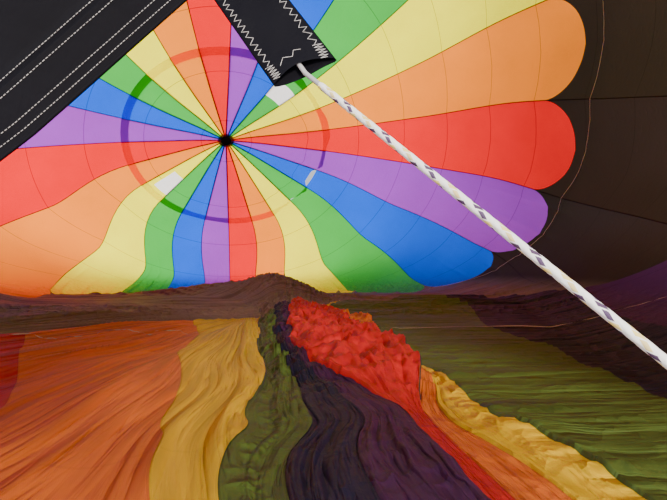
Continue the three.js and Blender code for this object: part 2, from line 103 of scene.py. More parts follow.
floor_material, tree = new_material("studio_floor")
shader = node(tree, "ShaderNodeBsdfPrincipled", {"Base Color": linear("c9c8c4"), "Roughness": 0.9})
node(tree, "ShaderNodeOutputMaterial", {"Surface": shader.outputs[0]})
floor_reach, floor_level = 120, -0.004
floor_corners = ((-1, -1), (1, -1), (1, 1), (-1, 1))
floor_points = [(x * floor_reach, y * floor_reach, floor_level) for x, y in floor_corners]
floor_mesh = smooth_mesh("studio_floor", floor_points, [], [(0, 1, 2, 3)])
floor_mesh.materials.append(floor_material)
add_object("studio_floor", floor_mesh)

world = bpy.data.worlds.new("studio_sky")
bpy.context.scene.world = world
world.use_nodes = True
world.node_tree.nodes.clear()
sky = node(world.node_tree, "ShaderNodeBackground", {"Color": linear("f1f4fa"), "Strength": 0.92})
node(world.node_tree, "ShaderNodeOutputWorld", {"Surface": sky.outputs[0]})


def add_sun(name, toward, strength, softness, colour):
    """A soft sun lamp that shines along a direction."""
    data = bpy.data.lights.new(name, "SUN")
    data.energy = strength
    data.angle = math.radians(softness)
    data.color = linear(colour)[:3]
    add_object(name, data).rotation_euler = Vector(toward).to_track_quat("-Z", "Y").to_euler()


add_sun("crown_light", (0.25, -0.9, -0.36), 5.5, 30, "fff6e8")
add_sun("sky_light", (0.5, 0.3, -0.82), 3.5, 60, "f4f6ff")
add_sun("mouth_light", (-0.12, 0.95, -0.28), 6.0, 14, "fff4e6")

# Cut of the cloth. The same outline as the solid gores: sections square to the cloth at
# distances s from the crown's centre, each shared out between the 24 gores' seams.
gore_count = 24
gore_length = 21.6
crown_opening = 2.4
parachute_radius = 2.6
crown_drift, throat_swing = -0.7, 0.35  # metres to the right
top_seam = 18  # the seam at 12 o'clock
section_samples = 240
cloth_depth = 0.005  # the sheet runs through the middle of the solid's 10 mm
# s, y and z at 12 o'clock, x, y and z at 3 o'clock, y and z at 6 o'clock, squareness, gore width
stations = np.array([
    (0.0, 12.9, 3.85, 0.0, 12.9, 3.85, 12.9, 3.85, 0.0, 0.0),
    (2.6, 10.85, 5.4, 2.55, 12.78, 3.62, 14.5, 1.88, 0.0, 0.67),
    (5.3, 9.2, 7.5, 4.7, 12.3, 3.45, 15.3, 0.15, 0.2, 1.31),
    (8.0, 7.3, 9.4, 6.05, 10.9, 3.0, 13.4, -0.15, 0.5, 1.8),
    (10.7, 4.8, 10.3, 6.45, 8.6, 2.5, 11.0, -0.25, 0.7, 2.1),
    (14.6, 1.6, 8.6, 5.35, 5.0, 1.8, 7.0, -0.2, 0.7, 1.85),
    (18.0, 0.5, 5.4, 3.6, 2.4, 1.1, 3.6, -0.12, 0.6, 1.2),
    (21.6, 0.0, 2.0, 1.6, 0.0, 0.8, 0.0, -0.05, 0.5, 0.48),
])
crown_slopes = np.array([1, -0.75, 0.66, 1, 0, 0, 0.75, -0.66, 0, 0.26])
bunching_stations = (2.6, 5.3, 9, 12.5, 15.5, 17, 18.5, 20, 21.3)
bunching = {  # share of its full width that a lower gore keeps at those stations
    0: (1, 1, 1, 0.9, 0.88, 1.24, 1.17, 0.32, 1.79),
    1: (1, 1, 1, 0.85, 0.97, 1.21, 1.19, 0.33, 1.79),
    2: (1, 1.1, 0.9, 0.65, 1.15, 0.79, 1.51, 0.56, 1.79),
    3: (1, 0.92, 0.7, 0.3, 0.06, 0.06, 0.06, 0.12, 0.78),
    4: (1, 0.65, 0.5, 0.16, 0.08, 0.33, 0.08, 0.06, 0.68),
    5: (1, 0.55, 0.45, 0.2, 0.16, 0.71, 1.08, 0.06, 0.43),
    6: (1, 0.53, 0.45, 0.12, 0.07, 0.06, 0.06, 0.12, 1.14),
    7: (1, 0.65, 0.5, 0.12, 0.06, 0.06, 0.06, 0.13, 0.91),
    8: (1, 0.6, 0.5, 0.16, 0.09, 0.15, 0.18, 0.16, 0.68),
    9: (1, 1, 0.75, 0.5, 0.51, 0.52, 0.73, 0.2, 0.58),
    10: (1, 1.2, 1.05, 1.15, 1.03, 1.34, 1.27, 0.39, 2.08),
    11: (1, 1.2, 1.1, 1.3, 1.57, 2, 2.2, 0.58, 2.12),
}
ridge_stations = (8.5, 12.2, 14.5, 17.5, 20.5, 21.6)
ridge_heights = (0.0, 0.36, 0.16, 0.1, 0.03, 0.0)
ridge_seam, ridge_half_width = 6.5, 2.6
gore_bulge = 0.07  # of its width
widest_gore = 1.35  # times an even share of the section


def smooth_step(x, low, high):
    """From 0 at low to 1 at high, level at both ends."""
    t = np.clip((np.asarray(x, float) - low) / (high - low), 0, 1)
    return t * t * (3 - 2 * t)


def station_at(s):
    """Cubic curve through the stations' rows."""
    knots = stations[:, 0]
    last = len(knots) - 1
    i = int(np.clip(np.searchsorted(knots, s, side="right") - 1, 0, last - 1))
    step = knots[i + 1] - knots[i]
    t = (s - knots[i]) / step
    rise = (stations[i + 1] - stations[i]) / step
    low = crown_slopes
    if i > 0:
        low = (stations[i + 1] - stations[i - 1]) / (knots[i + 1] - knots[i - 1])
    high = 2 * rise - low
    if i < last - 1:
        high = (stations[i + 2] - stations[i]) / (knots[i + 2] - knots[i])
    return ((2 * t**3 - 3 * t**2 + 1) * stations[i] + (t**3 - 2 * t**2 + t) * step * low
            + (3 * t**2 - 2 * t**3) * stations[i + 1] + (t**3 - t**2) * step * high)


def eased(x, places, heights):
    """Goes from height to height, with a smooth step from each place to the next."""
    i = int(np.clip(np.searchsorted(places, x) - 1, 0, len(places) - 2))
    return heights[i] + (heights[i + 1] - heights[i]) * smooth_step(x, places[i], places[i + 1])


def ridge_height(s, seam):
    """How high the gathered cloth stands along the middle of the ground."""
    across = np.clip(1 - ((seam - ridge_seam) / ridge_half_width) ** 2, 0, 1)
    return eased(s, ridge_stations, ridge_heights) * across * across


def ring_at(s, seams):
    """Points of the cloth's outer face at s, and the width of a filled gore there."""
    _, y_top, z_top, x_side, y_side, z_side, y_floor, z_floor, square, gore = station_at(s)
    angle = np.linspace(0, 2 * np.pi, section_samples + 1)
    c, n = np.cos(angle), np.sin(angle)
    upper = c >= 0
    power = np.where(upper, 1, 1 - 0.5 * square)
    across = np.sign(n) * np.abs(n) ** power
    along = np.abs(c) ** power
    y = y_side + (np.where(upper, y_top, y_floor) - y_side) * along
    z = z_side + (np.where(upper, z_top, z_floor) - z_side) * along
    swing = throat_swing * np.sin(np.pi * smooth_step(s, 6.0, gore_length))
    x = x_side * across + crown_drift * (1 - s / gore_length) + swing
    points = np.stack([x, y, np.maximum(z, 0)], 1)
    lengths = np.concatenate([[0], np.cumsum(np.linalg.norm(np.diff(points, axis=0), axis=1))])
    even = lengths[-1] / gore_count
    filled = float(np.clip(gore, even, widest_gore * even))
    shares = [eased(s, bunching_stations, bunching[k]) for k in range(gore_count // 2)]
    loose = (lengths[-1] - gore_count / 2 * filled) / sum(shares)
    widths = [filled if k >= gore_count // 2 else loose * shares[k]
              for k in ((top_seam + i) % gore_count for i in range(gore_count))]
    marks = np.concatenate([[0], np.cumsum(widths)])
    from_top = np.mod(np.asarray(seams, float) - top_seam, gore_count)
    length = np.interp(from_top, np.arange(gore_count + 1), marks)
    result = np.stack([np.interp(length, lengths, points[:, i]) for i in range(3)], 1)
    result[:, 2] += ridge_height(s, np.mod(seams, gore_count))
    return result, filled


# Cloth. One grid over the whole envelope, fine near the mouth and on the ground, from which
# every gore is cut, so that neighbours meet along their seams. Gores 4 to 10 each end in a flap
# that is tucked under the next gore and takes up spare width.
upper_columns, lower_columns, flap_columns = 16, 44, 6
wide_columns = {0: 60, 1: 60, 2: 60, 9: 56, 10: 80, 11: 80}  # gores with much width on the ground
flap_gores = range(3, 10)
row_values = np.concatenate([np.arange(crown_opening, 8.5, 0.25), np.arange(8.5, 11, 0.1),
                             np.arange(11, gore_length, 0.028), [gore_length]])
seam_values, gore_of, first_column = [], [], [0]
for k in range(gore_count):
    count = wide_columns.get(k, lower_columns if k < 10 else upper_columns)
    seam_values += [k + i / count for i in range(count)]
    if k in flap_gores:
        seam_values += [k + 1.0] * flap_columns
    gore_of += [k] * (len(seam_values) - len(gore_of))
    first_column.append(len(seam_values))
seam_values, gore_of = np.array(seam_values), np.array(gore_of)
part = seam_values - gore_of
cloth = np.empty((len(row_values), len(seam_values), 3))
filled_width = np.empty(len(row_values))
for i, s in enumerate(row_values):
    cloth[i], filled_width[i] = ring_at(s, np.mod(seam_values, gore_count))


def unit(vectors):
    """Vectors of the same directions, each of length 1."""
    return vectors / np.maximum(np.linalg.norm(vectors, axis=-1, keepdims=True), 1e-9)


def grid_normals(points):
    """Outward normals of a grid that closes round its columns."""
    along = np.gradient(points, axis=0)
    across = np.roll(points, -1, axis=1) - np.roll(points, 1, axis=1)
    return unit(np.cross(along, across))


def window(x, start, full, fade, end):
    """1 between full and fade, 0 before start and after end."""
    return smooth_step(x, start, full) * (1 - smooth_step(x, fade, end))


normals = grid_normals(cloth)
x, y, z = cloth[:, :, 0], cloth[:, :, 1], cloth[:, :, 2]
s_grid, seam_grid = np.meshgrid(row_values, seam_values, indexing="ij")
lifted = smooth_step(z, 0.3, 2.0)
ends = window(row_values, crown_opening, 6.0, 15.0, gore_length)
bow = np.sin(np.pi * np.clip(part, 0, 1))[None, :]
bulge = gore_bulge * (filled_width * ends)[:, None] * lifted * bow

# Spare width of each gore: what it was cut to, less what the outline leaves it.
cut_width = np.interp(row_values, stations[:, 0], stations[:, 9])
present_width = np.stack([np.linalg.norm(np.diff(cloth[:, first_column[k]:first_column[k + 1]], axis=1),
                                         axis=2).sum(1) for k in range(gore_count)], 1)
spare_width = np.maximum(cut_width[:, None] - present_width, 0)[:, gore_of]

# Folds. At the dome's foot the spare cloth goes out in sharp creases, three to a gore. On the
# ground it stands in pleats along the gores, is drawn to a point on the left, ripples on the
# right, and is crumpled together in the heap and in the knot beyond it.


def value_noise(u, v, seed):
    """Smooth noise between 0 and 1, one random value for each unit square's corner."""
    size = 256
    table = np.random.default_rng(seed).random((size, size))
    u, v = np.broadcast_arrays(u, v)
    column, row = np.floor(u).astype(int), np.floor(v).astype(int)
    fu, fv = smooth_step(u - column, 0, 1), smooth_step(v - row, 0, 1)
    column, next_column = column % size, (column + 1) % size
    row, next_row = row % size, (row + 1) % size
    near = table[column, row] * (1 - fu) + table[next_column, row] * fu
    far = table[column, next_row] * (1 - fu) + table[next_column, next_row] * fu
    return near * (1 - fv) + far * fv


def crumple(u, v, seed, octaves=3):
    """Sharp-crested noise between 0 and 1, like cloth pushed together."""
    finer, weaker = 2.03, 0.55  # each octave, against the one before it
    total, weight = 0.0, 0.0
    for octave in range(octaves):
        crest = 1 - np.abs(2 * value_noise(u * finer**octave, v * finer**octave, seed + octave) - 1)
        total = total + crest * weaker**octave
        weight += weaker**octave
    return total / weight


crease_count, crease_half_width, crease_most = 3, 0.16, 0.2
crease_phase = np.mod(np.clip(part, 0, 1) * crease_count, 1)
crease = np.maximum(0, 1 - np.abs(crease_phase - 0.5) / crease_half_width)[None, :]
crease_height = crease * np.clip(spare_width / 6, 0, crease_most) * window(s_grid, 4.2, 6.5, 10.2, 11.2)
pleat_run = seam_grid * 4.3 + 1.2 * value_noise(s_grid * 0.6, seam_grid * 0.5, 11)
pinch_x, pinch_y = -0.32, 6.6  # the cloth on the left is drawn towards here
fan_reach = np.hypot(x - pinch_x, y - pinch_y)
fan_turn = np.arctan2(y - pinch_y, x - pinch_x) + 0.03 * value_noise(x * 1.3, y * 1.3, 23)
ripple_turn = y * 3.3 + 0.5 * value_noise(x * 0.5, y * 0.3, 31) + x * 0.35
knot_x, knot_y = 0.45, 9.3
knot_line = (x - knot_x) + (y - knot_y) * 0.36

wide = smooth_step(present_width[:, gore_of], 0.08, 0.45)
pleated = wide * window(seam_grid, 2.6, 3.6, 8.6, 9.5) * window(s_grid, 12.0, 16.0, 20.6, gore_length)
fan_seams, ripple_seams = window(seam_grid, 8.2, 9.2, 11.6, 12.4), window(seam_grid, -1, -0.5, 3.2, 3.9)
fanned = fan_seams * smooth_step(fan_reach, 0.3, 2.2) * window(s_grid, 13.0, 15.5, 20.3, gore_length)
rippled = ripple_seams * window(s_grid, 11.5, 13.0, 20.0, gore_length)
belted = window(s_grid, 9.8, 10.8, 15.2, 15.9)
heaped = window(seam_grid, 3.3, 4.2, 8.2, 9.0) * window(s_grid, 13.5, 15.3, 18.8, 20.2)
knotted = np.exp(-((knot_line / 0.55) ** 2 + ((y - knot_y) / 1.6) ** 2))
ground_folds = (  # height, place across and along the folds, seed, octaves, sharpness, and where
    (0.075, pleat_run, s_grid * 0.42, 12, 3, 2, pleated),
    (0.045, x * 8 + y * 2, y * 5, 14, 3, 1.5, pleated),
    (0.08, fan_turn * 6, fan_reach * 0.2, 21, 2, 3, fanned),
    (0.04, fan_turn * 19, fan_reach * 0.3, 25, 2, 3, fanned),
    (0.02, fan_turn * 38, fan_reach * 0.5, 27, 2, 2, fanned),
    (0.035, ripple_turn, x * 0.22, 32, 2, 2, rippled),
    (0.03, ripple_turn * 2.6, x * 0.4, 35, 3, 2, rippled),
    (0.1, y * 1.6 + x * 0.06, x * 0.16, 41, 3, 2, belted),
    (0.035, y * 5 + x * 0.3, x * 0.3, 45, 2, 2, belted),
    (0.12, x * 6.5, y * 5.5, 51, 4, 1.4, heaped),
    (0.17, x * 11, y * 8, 61, 3, 1, knotted),
)
rise = sum(height * crumple(across, along, seed, octaves) ** sharpness * where
           for height, across, along, seed, octaves, sharpness, where in ground_folds)
ridge_rise = np.stack([ridge_height(s, np.mod(seam_values, gore_count)) for s in row_values])
on_ground = 1 - smooth_step(z - ridge_rise, 0.05, 0.5)
outward = smooth_step(z, 0.15, 0.6)  # a crease goes out from the wall, and up from the ground
cloth += normals * (bulge - cloth_depth + crease_height * outward)[:, :, None]
cloth[:, :, 2] += rise * on_ground + crease_height * (1 - outward) * 0.5
# The heap's folds lie unevenly, and seams 3 to 5 on its right are drawn towards its middle.
sway = (value_noise(x * 5, y * 5, 71) - 0.5) * heaped * 0.07
sway -= 0.3 * window(s_grid, 15.4, 16.9, 17.9, 19.3) * window(seam_grid, 2.0, 3.0, 4.4, 6.0)

# Fine creases, which the cloth's material raises: each zone of the ground has its own run.
crease_zones = (  # how far a point is in the zone, and its place across and along the creases
    (fan_seams * window(s_grid, 12.5, 15.5, 21.0, gore_length), fan_turn * 55, fan_reach * 0.7),
    (0.6 * ripple_seams * window(s_grid, 11.5, 13.0, 21.0, gore_length), ripple_turn * 3.5, x * 0.7),
    (belted, y * 9 + x * 0.4, x * 0.6),
    (0.7 * window(seam_grid, 3.0, 3.9, 8.2, 9.0) * window(s_grid, 17.0, 19.0, 21.0, gore_length),
     pleat_run, s_grid * 1.8),
)
in_zone = np.stack([zone[0] for zone in crease_zones])
nearest_zone = in_zone.argmax(0)
in_zone.sort(0)
drawn = (in_zone[-1] - in_zone[-2]) * on_ground  # none where two zones meet
crease_across, crease_along = (np.choose(nearest_zone, [zone[i] for zone in crease_zones]) for i in (1, 2))
crease_place = np.stack([crease_across, crease_along, 0 * drawn], 2)
cloth[:, :, 0] += sway * on_ground

# Flaps: out under the neighbour and back to the seam, close to the ground, where nothing shows.
flap_cut, flap_slack, widest_flap = 0.92, 0.1, 0.9  # share of the cut width, and metres
flap_reach = np.clip((cut_width[:, None] * flap_cut - present_width - flap_slack) / 2, 0, widest_flap)
flap_reach *= window(row_values, 8.5, 10.5, 19.6, 20.8)[:, None]
# metres out of the seam, at most the reach, and height above the ground, or below the seam
flap_places = ((0.0, -0.004), (0.04, 0.002), (2.0, 0.002), (2.0, 0.001), (0.05, 0.001), (0.0, -0.006))
for k in flap_gores:
    last = first_column[k + 1] - 1
    seam_line = cloth[:, (last + 1) % len(seam_values)]
    side = unit((seam_line - cloth[:, first_column[k]]) * [1, 1, 0])
    laid = smooth_step(flap_reach[:, k], 0, 0.015)
    for i, (out, height) in enumerate(flap_places):
        column = cloth[:, last - flap_columns + 1 + i]
        column[:] = seam_line + side * np.minimum(flap_reach[:, k], out)[:, None]
        level = column[:, 2] + height if height < 0 else height
        column[:, 2] = column[:, 2] * (1 - laid) + level * laid

# Belt. The black band round the envelope runs between two lines, given seam by seam as metres
# from the crown: it sags towards the mouth where the cloth lies slack on the ground. The map
# that the cloth's colours follow puts those lines at the same places on every gore.
belt_top, belt_foot = 10.15, 15.7
belt_top_at = np.full(gore_count + 1, belt_top)
belt_top_at[[11, 12, 13, 22, 23]] = (11.9, 11.3, 10.6, 9.85, 9.85)
belt_foot_at = np.full(gore_count + 1, belt_foot)
belt_foot_at[[1, 2, 3, 4, 11, 12]] = (14.6, 12.3, 14.1, 15.2, 16.9, 16.3)
seam_numbers = np.arange(gore_count + 1)
dye_place = np.empty(s_grid.shape)
for i, seam in enumerate(seam_values):
    lines = (np.interp(seam, seam_numbers, belt_top_at), np.interp(seam, seam_numbers, belt_foot_at))
    dye_place[:, i] = np.interp(row_values, (crown_opening, *lines, gore_length),
                                (crown_opening, belt_top, belt_foot, gore_length))
gore_width = np.maximum(present_width, 0.02)[:, gore_of]
seam_distance = np.minimum(part, 1 - part)[None, :] * gore_width

rainbow = {  # ripstop nylon, dyed; the same order round the whole envelope
    "violet": "9a40c0", "blue": "065ae8", "green": "42b446",
    "yellow": "fff81c", "orange": "fc8a1a", "red": "f0141c",
}
shaded_rainbow = {  # painted shade: the same rainbow under the same names, darker and duller, for the lower petals by the mouth, which lie on the ground
    "violet": "46224c", "blue": "201f3c", "green": "52692f",
    "yellow": "e6c022", "orange": "de7630", "red": "c8262a",
}
petal_round, lower_petal_round = 0.9, 0.35
first_seam, seam_pitch = 3.42, 1.4
seam_half_width, stitch_inset = 0.009, 0.009
thread_pitch, thread_width = 0.005, 0.0007  # of the ripstop's thicker threads
ripstop_maths = (  # a value's name, an operation, and what goes in: numbers, or values by name
    # The upper petal ends round, and the lower one starts square with round corners.
    ("centred", "MULTIPLY_ADD", "across", 2.0, -1.0),
    ("squared", "MULTIPLY", "centred", "centred"),
    ("round_room", "SUBTRACT", 1.0, "squared"),
    ("rounding", "SQRT", "round_room"),
    ("upper_end", "MULTIPLY_ADD", "rounding", petal_round, belt_top - petal_round),
    ("upper", "LESS_THAN", "along", "upper_end"),
    ("from_middle", "ABSOLUTE", "centred"),
    ("sixth", "POWER", "from_middle", 6.0),
    ("square_room", "SUBTRACT", 1.0, "sixth"),
    ("squareness", "SQRT", "square_room"),
    ("lower_start", "MULTIPLY_ADD", "squareness", -lower_petal_round, belt_foot + lower_petal_round),
    ("lower", "GREATER_THAN", "along", "lower_start"),
    ("coloured", "MAXIMUM", "upper", "lower"),
    # Painted shade: cloth is doubled at the cross seams and along the felled seams, so less light comes
    # through; the colour there is painted darker where the cloth hangs lit from behind, and much less where
    # it lies on the ground.
    ("past_seam", "SUBTRACT", "along", first_seam),
    ("past_seam", "FLOORED_MODULO", "past_seam", seam_pitch),
    ("past_middle", "SUBTRACT", "past_seam", seam_pitch / 2),
    ("past_middle", "ABSOLUTE", "past_middle"),
    ("cross_seam", "GREATER_THAN", "past_middle", seam_pitch / 2 - seam_half_width),
    ("cross_seam", "MULTIPLY", "cross_seam", 0.4),
    ("felled", "LESS_THAN", "seam_distance", 0.011),
    ("felled", "MULTIPLY", "felled", 0.5),
    ("painted_seam_shade", "MAXIMUM", "cross_seam", "felled"),
    ("lit_through", "MULTIPLY_ADD", "lying", -0.85, 1.0),
    ("painted_seam_shade", "MULTIPLY", "painted_seam_shade", "lit_through"),
    ("single", "SUBTRACT", 1.0, "painted_seam_shade"),
    # The grid of thicker threads, and a dashed row of stitches beside each seam.
    ("warp", "FLOORED_MODULO", "seam_distance", thread_pitch),
    ("warp", "LESS_THAN", "warp", thread_width),
    ("weft", "FLOORED_MODULO", "along", thread_pitch),
    ("weft", "LESS_THAN", "weft", thread_width),
    ("threads", "MAXIMUM", "warp", "weft"),
    ("stitch_row", "COMPARE", "seam_distance", stitch_inset, 0.0006),
    ("stitch_run", "FLOORED_MODULO", "along", 0.0045),
    ("stitch_dash", "LESS_THAN", "stitch_run", 0.003),
    ("stitched", "MULTIPLY", "stitch_row", "stitch_dash"),
    ("woven", "MULTIPLY_ADD", "mottle", 0.24, 0.86),
    ("woven", "MULTIPLY_ADD", "stitched", 0.5, "woven"),
    ("woven", "MULTIPLY_ADD", "threads", -0.1, "woven"),
    # Cloth that lies slack is crumpled, but creased one way where it is drawn, with painted shade darkening
    # the hollows between the creases.
    ("facet_relief", "MULTIPLY", "lying", 0.6),
    ("crumpled", "MULTIPLY_ADD", "facets", "facet_relief", "crinkle"),
    ("crease_relief", "MULTIPLY", "creases", 0.4),
    ("crease_top", "MINIMUM", "creases", 1.0),
    ("hollow_shade", "SUBTRACT", 1.0, "crease_top"),
    ("hollow_shade", "MULTIPLY", "hollow_shade", "drawn"),
    ("hollow_shading", "MULTIPLY_ADD", "hollow_shade", -0.4, 1.08),
    ("shade", "MULTIPLY", "woven", "single"),
    ("shade", "MULTIPLY", "shade", "hollow_shading"),
    ("relief", "MULTIPLY_ADD", "lying", 0.75, 0.15),
    # Painted light: belt cloth that lies on the ground is lightened towards a pale grey-brown, in uneven
    # patches.
    ("painted_ground_light", "MULTIPLY_ADD", "mottle", 0.5, 0.5),
    ("painted_ground_light", "MULTIPLY", "painted_ground_light", "lying"),
    ("through", "MULTIPLY_ADD", "lying", -0.35, 0.7),
)


def thin_cloth(tree, tone, through, front, behind):
    """Ends a material of thin cloth, which lets a share of the light through."""
    lit = node(tree, "ShaderNodeBsdfPrincipled", {"Base Color": tone, **front})
    glow = node(tree, "ShaderNodeBsdfTranslucent", {"Color": tone, **behind})
    mixed = node(tree, "ShaderNodeMixShader", {0: through, 1: lit.outputs[0], 2: glow.outputs[0]})
    node(tree, "ShaderNodeOutputMaterial", {"Surface": mixed.outputs[0]})


def ripstop(name, colour, shaded_colour):
    """Ripstop nylon, woven and coated: thin enough to glow when lit from behind. The belt is
    the same cloth dyed black. A gore's own map gives the place across it and along it."""
    made, tree = new_material(name)
    uv = node(tree, "ShaderNodeUVMap", uv_map="gore")
    place = node(tree, "ShaderNodeSeparateXYZ", {0: uv.outputs[0]})
    here = node(tree, "ShaderNodeTexCoord").outputs["Object"]
    run = node(tree, "ShaderNodeAttribute", attribute_name="crease_place").outputs["Vector"]
    values = {"across": place.outputs[0], "along": place.outputs[1]}
    for attribute in ("seam_distance", "lying", "drawn"):
        values[attribute] = node(tree, "ShaderNodeAttribute", attribute_name=attribute).outputs["Fac"]
    mottle = node(tree, "ShaderNodeTexNoise", {"Vector": here, "Scale": 1.1, "Detail": 4.0})
    values["mottle"] = mottle.outputs[0]
    ridges = (  # the noise's name, place, scale, roughness, distortion, offset and dimensions
        ("crinkle", here, 8.0, 0.55, 0.6, 0.0, "3D"),
        ("facets", here, 6.0, 0.6, 0.0, 1.0, "3D"),
        ("creases", run, 1.0, 0.6, 0.2, 1.0, "2D"),
    )
    for ridge_name, where, scale, roughness, distortion, offset, dimensions in ridges:
        ridged = node(tree, "ShaderNodeTexNoise", {
            "Vector": where, "Scale": scale, "Detail": 4.0, "Roughness": roughness,
            "Distortion": distortion, "Offset": offset},
            noise_type="RIDGED_MULTIFRACTAL", noise_dimensions=dimensions)
        values[ridge_name] = ridged.outputs[0]
    for result, operation, *inputs in ripstop_maths:
        sockets = {i: values.get(value, value) for i, value in enumerate(inputs)}
        values[result] = node(tree, "ShaderNodeMath", sockets, operation=operation).outputs[0]

    folded = node(tree, "ShaderNodeMix", {
        0: values["drawn"], 2: values["crumpled"], 3: values["crease_relief"]})
    crinkled = node(tree, "ShaderNodeBump", {
        "Height": folded.outputs[0], "Strength": values["relief"], "Distance": 0.035})
    raised = node(tree, "ShaderNodeBump", {
        "Height": values["threads"], "Strength": 0.3, "Distance": 0.0004, "Normal": crinkled.outputs[0]})
    shade = values["shade"]
    tint = node(tree, "ShaderNodeCombineXYZ", {0: shade, 1: shade, 2: shade}).outputs[0]
    # Upper cloth takes the rainbow, the lower petals its darker copy: painted shade.
    dye = node(tree, "ShaderNodeMix", {
        0: values["lower"], 6: linear(colour), 7: linear(shaded_colour)}, data_type="RGBA")
    # The black belt, with painted light where it lies on the ground.
    band = node(tree, "ShaderNodeMix", {
        0: values["painted_ground_light"], 6: linear("2a231d"), 7: linear("8e786c")}, data_type="RGBA")
    dyed = node(tree, "ShaderNodeMix", {
        0: values["coloured"], 6: band.outputs[2], 7: dye.outputs[2]}, data_type="RGBA")
    toned = node(tree, "ShaderNodeMix", {
        0: 1.0, 6: dyed.outputs[2], 7: tint}, data_type="RGBA", blend_type="MULTIPLY").outputs[2]
    thin_cloth(tree, toned, values["through"],
               {"Roughness": 0.55, "Specular IOR Level": 0.3, "Normal": raised.outputs[0]},
               {"Normal": crinkled.outputs[0]})
    return made


ripstop_of = {name: ripstop(f"ripstop_{name}", rainbow[name], shaded_rainbow[name]) for name in rainbow}
colour_names = list(rainbow)

# Gores. Twenty-four tapering panels of ripstop, sewn side to side from the crown's edge to
# the mouth. Each is cut from the grid above and mapped across its width and along its length.


def add_piece(name, mesh, body, materials):
    """Links a mesh as a piece of the object, on its body and with its materials."""
    piece = add_object(name, mesh)
    for material in materials:
        mesh.materials.append(material)
    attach(piece, body)
    return piece


def grid_mesh(name, grid, across, along, attributes=()):
    """Open sheet from a grid of points, with its map across and along the cloth, and with named
    values of its points."""
    rows, columns = grid.shape[:2]
    index = np.arange(rows * columns).reshape(rows, columns)
    quads = np.stack([index[:-1, :-1], index[1:, :-1], index[1:, 1:], index[:-1, 1:]], 2).reshape(-1, 4)
    mesh = smooth_mesh(name, grid.reshape(-1, 3).tolist(), [], quads.tolist())
    uv_layer = mesh.uv_layers.new(name="gore")
    pairs = np.stack([np.broadcast_to(values, (rows, columns)) for values in (across, along)], 2)
    loops = np.empty(len(mesh.loops), int)
    mesh.loops.foreach_get("vertex_index", loops)
    uv_layer.data.foreach_set("uv", pairs.reshape(-1, 2)[loops].ravel())
    for attribute_name, value in dict(attributes).items():
        kind, field = ("FLOAT_VECTOR", "vector") if value.ndim == 3 else ("FLOAT", "value")
        attribute = mesh.attributes.new(attribute_name, kind, "POINT")
        attribute.data.foreach_set(field, np.ascontiguousarray(value, float).ravel())
    return mesh


for k in range(gore_count):
    take = np.arange(first_column[k], first_column[k + 1] + 1) % len(seam_values)
    name = f"gore_cloth_{k + 1:02d}"
    colour = colour_names[k % len(colour_names)]
    from_seam = np.append(seam_distance[:, take[:-1]], 0 * seam_distance[:, :1], axis=1)
    mesh = grid_mesh(name, cloth[:, take], np.append(part[take[:-1]], 1.0), dye_place[:, take],
                     {"seam_distance": from_seam, "lying": on_ground[:, take], "drawn": drawn[:, take],
                      "crease_place": crease_place[:, take]})
    gore = add_piece(name, mesh, "envelope", [ripstop_of[colour]])
    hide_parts(f"gore_{k + 1:02d}")

# Parachute valve. A round panel in the gores' colours that closes the crown from inside. It
# overlaps the crown's edge by 0.2 m, which shows as a deeper ring, but on the lower right its
# edge is drawn in, and a slit of daylight shows. Two pieces of it are white.
parachute_rows = np.concatenate([[0.02], np.arange(0.1, parachute_radius, 0.1), [parachute_radius]])
parachute_columns = 8
parachute_seams = np.arange(gore_count * parachute_columns) / parachute_columns
parachute_depth = 0.0165
drawn_in = (  # seam, half width in seams, metres
    (1.45, 0.62, 0.33), (0.2, 0.7, 0.1), (2.6, 0.5, 0.16),
    (3.3, 0.6, 0.12), (7.0, 1.0, 0.05), (21.6, 0.8, 0.07),
)
drawn_from = 1.6  # metres from the crown
ring_step = 0.125  # of a gore


def parachute_grid(distances, seams, depth):
    """Points of the panel, inside the crown by a depth."""
    edge = np.full(len(seams), parachute_radius)
    for seam, half_width, amount in drawn_in:
        away = np.abs(np.mod(seams - seam + gore_count / 2, gore_count) - gore_count / 2)
        edge -= amount * (1 - smooth_step(away, half_width * 0.4, half_width * 1.3))
    points = np.empty((len(distances), len(seams), 3))
    ring_seams = np.arange(0, gore_count, ring_step)
    fine = np.arange(0.0, parachute_radius + 0.1, 0.05)
    rings = np.stack([ring_at(max(s, 0.01), ring_seams)[0] for s in fine])
    rings -= grid_normals(rings) * depth
    share = np.clip((distances - drawn_from) / (parachute_radius - drawn_from), 0, 1)
    for c, seam in enumerate(seams):
        s = distances + (edge[c] - parachute_radius) * share
        place = seam / ring_step % len(ring_seams)
        low, part_up = int(place), place % 1
        line = rings[:, low] * (1 - part_up) + rings[:, (low + 1) % len(ring_seams)] * part_up
        points[:, c] = np.stack([np.interp(s, fine, line[:, i]) for i in range(3)], 1)
    return points


white_cloth, tree = new_material("white_ripstop_patch")
place = node(tree, "ShaderNodeTexCoord").outputs["Object"]
wear = node(tree, "ShaderNodeTexNoise", {"Vector": place, "Scale": 9.0, "Detail": 3.0})
tone = node(tree, "ShaderNodeMix", {
    0: wear.outputs[0], 6: linear("f4f2ee"), 7: linear("ffffff")}, data_type="RGBA")
thin_cloth(tree, tone.outputs[2], 0.7, {"Roughness": 0.5}, {})
parachute = parachute_grid(parachute_rows, parachute_seams, parachute_depth)
white_inserts = ((9, 0, 6, 1.6, 2.3), (20, 0, 8, 1.7, 2.2))  # gore, columns, metres from the crown
panel = bmesh.new()
uv_layer = panel.loops.layers.uv.new("gore")
edge_layer = panel.verts.layers.float.new("seam_distance")
columns = len(parachute_seams)
vertices = [[panel.verts.new(point) for point in row_points] for row_points in parachute]
for r, distance in enumerate(parachute_rows):
    for c in range(columns):
        from_seam = min(c % parachute_columns, parachute_columns - c % parachute_columns) / parachute_columns
        vertices[r][c][edge_layer] = from_seam * 2 * math.pi * distance / gore_count
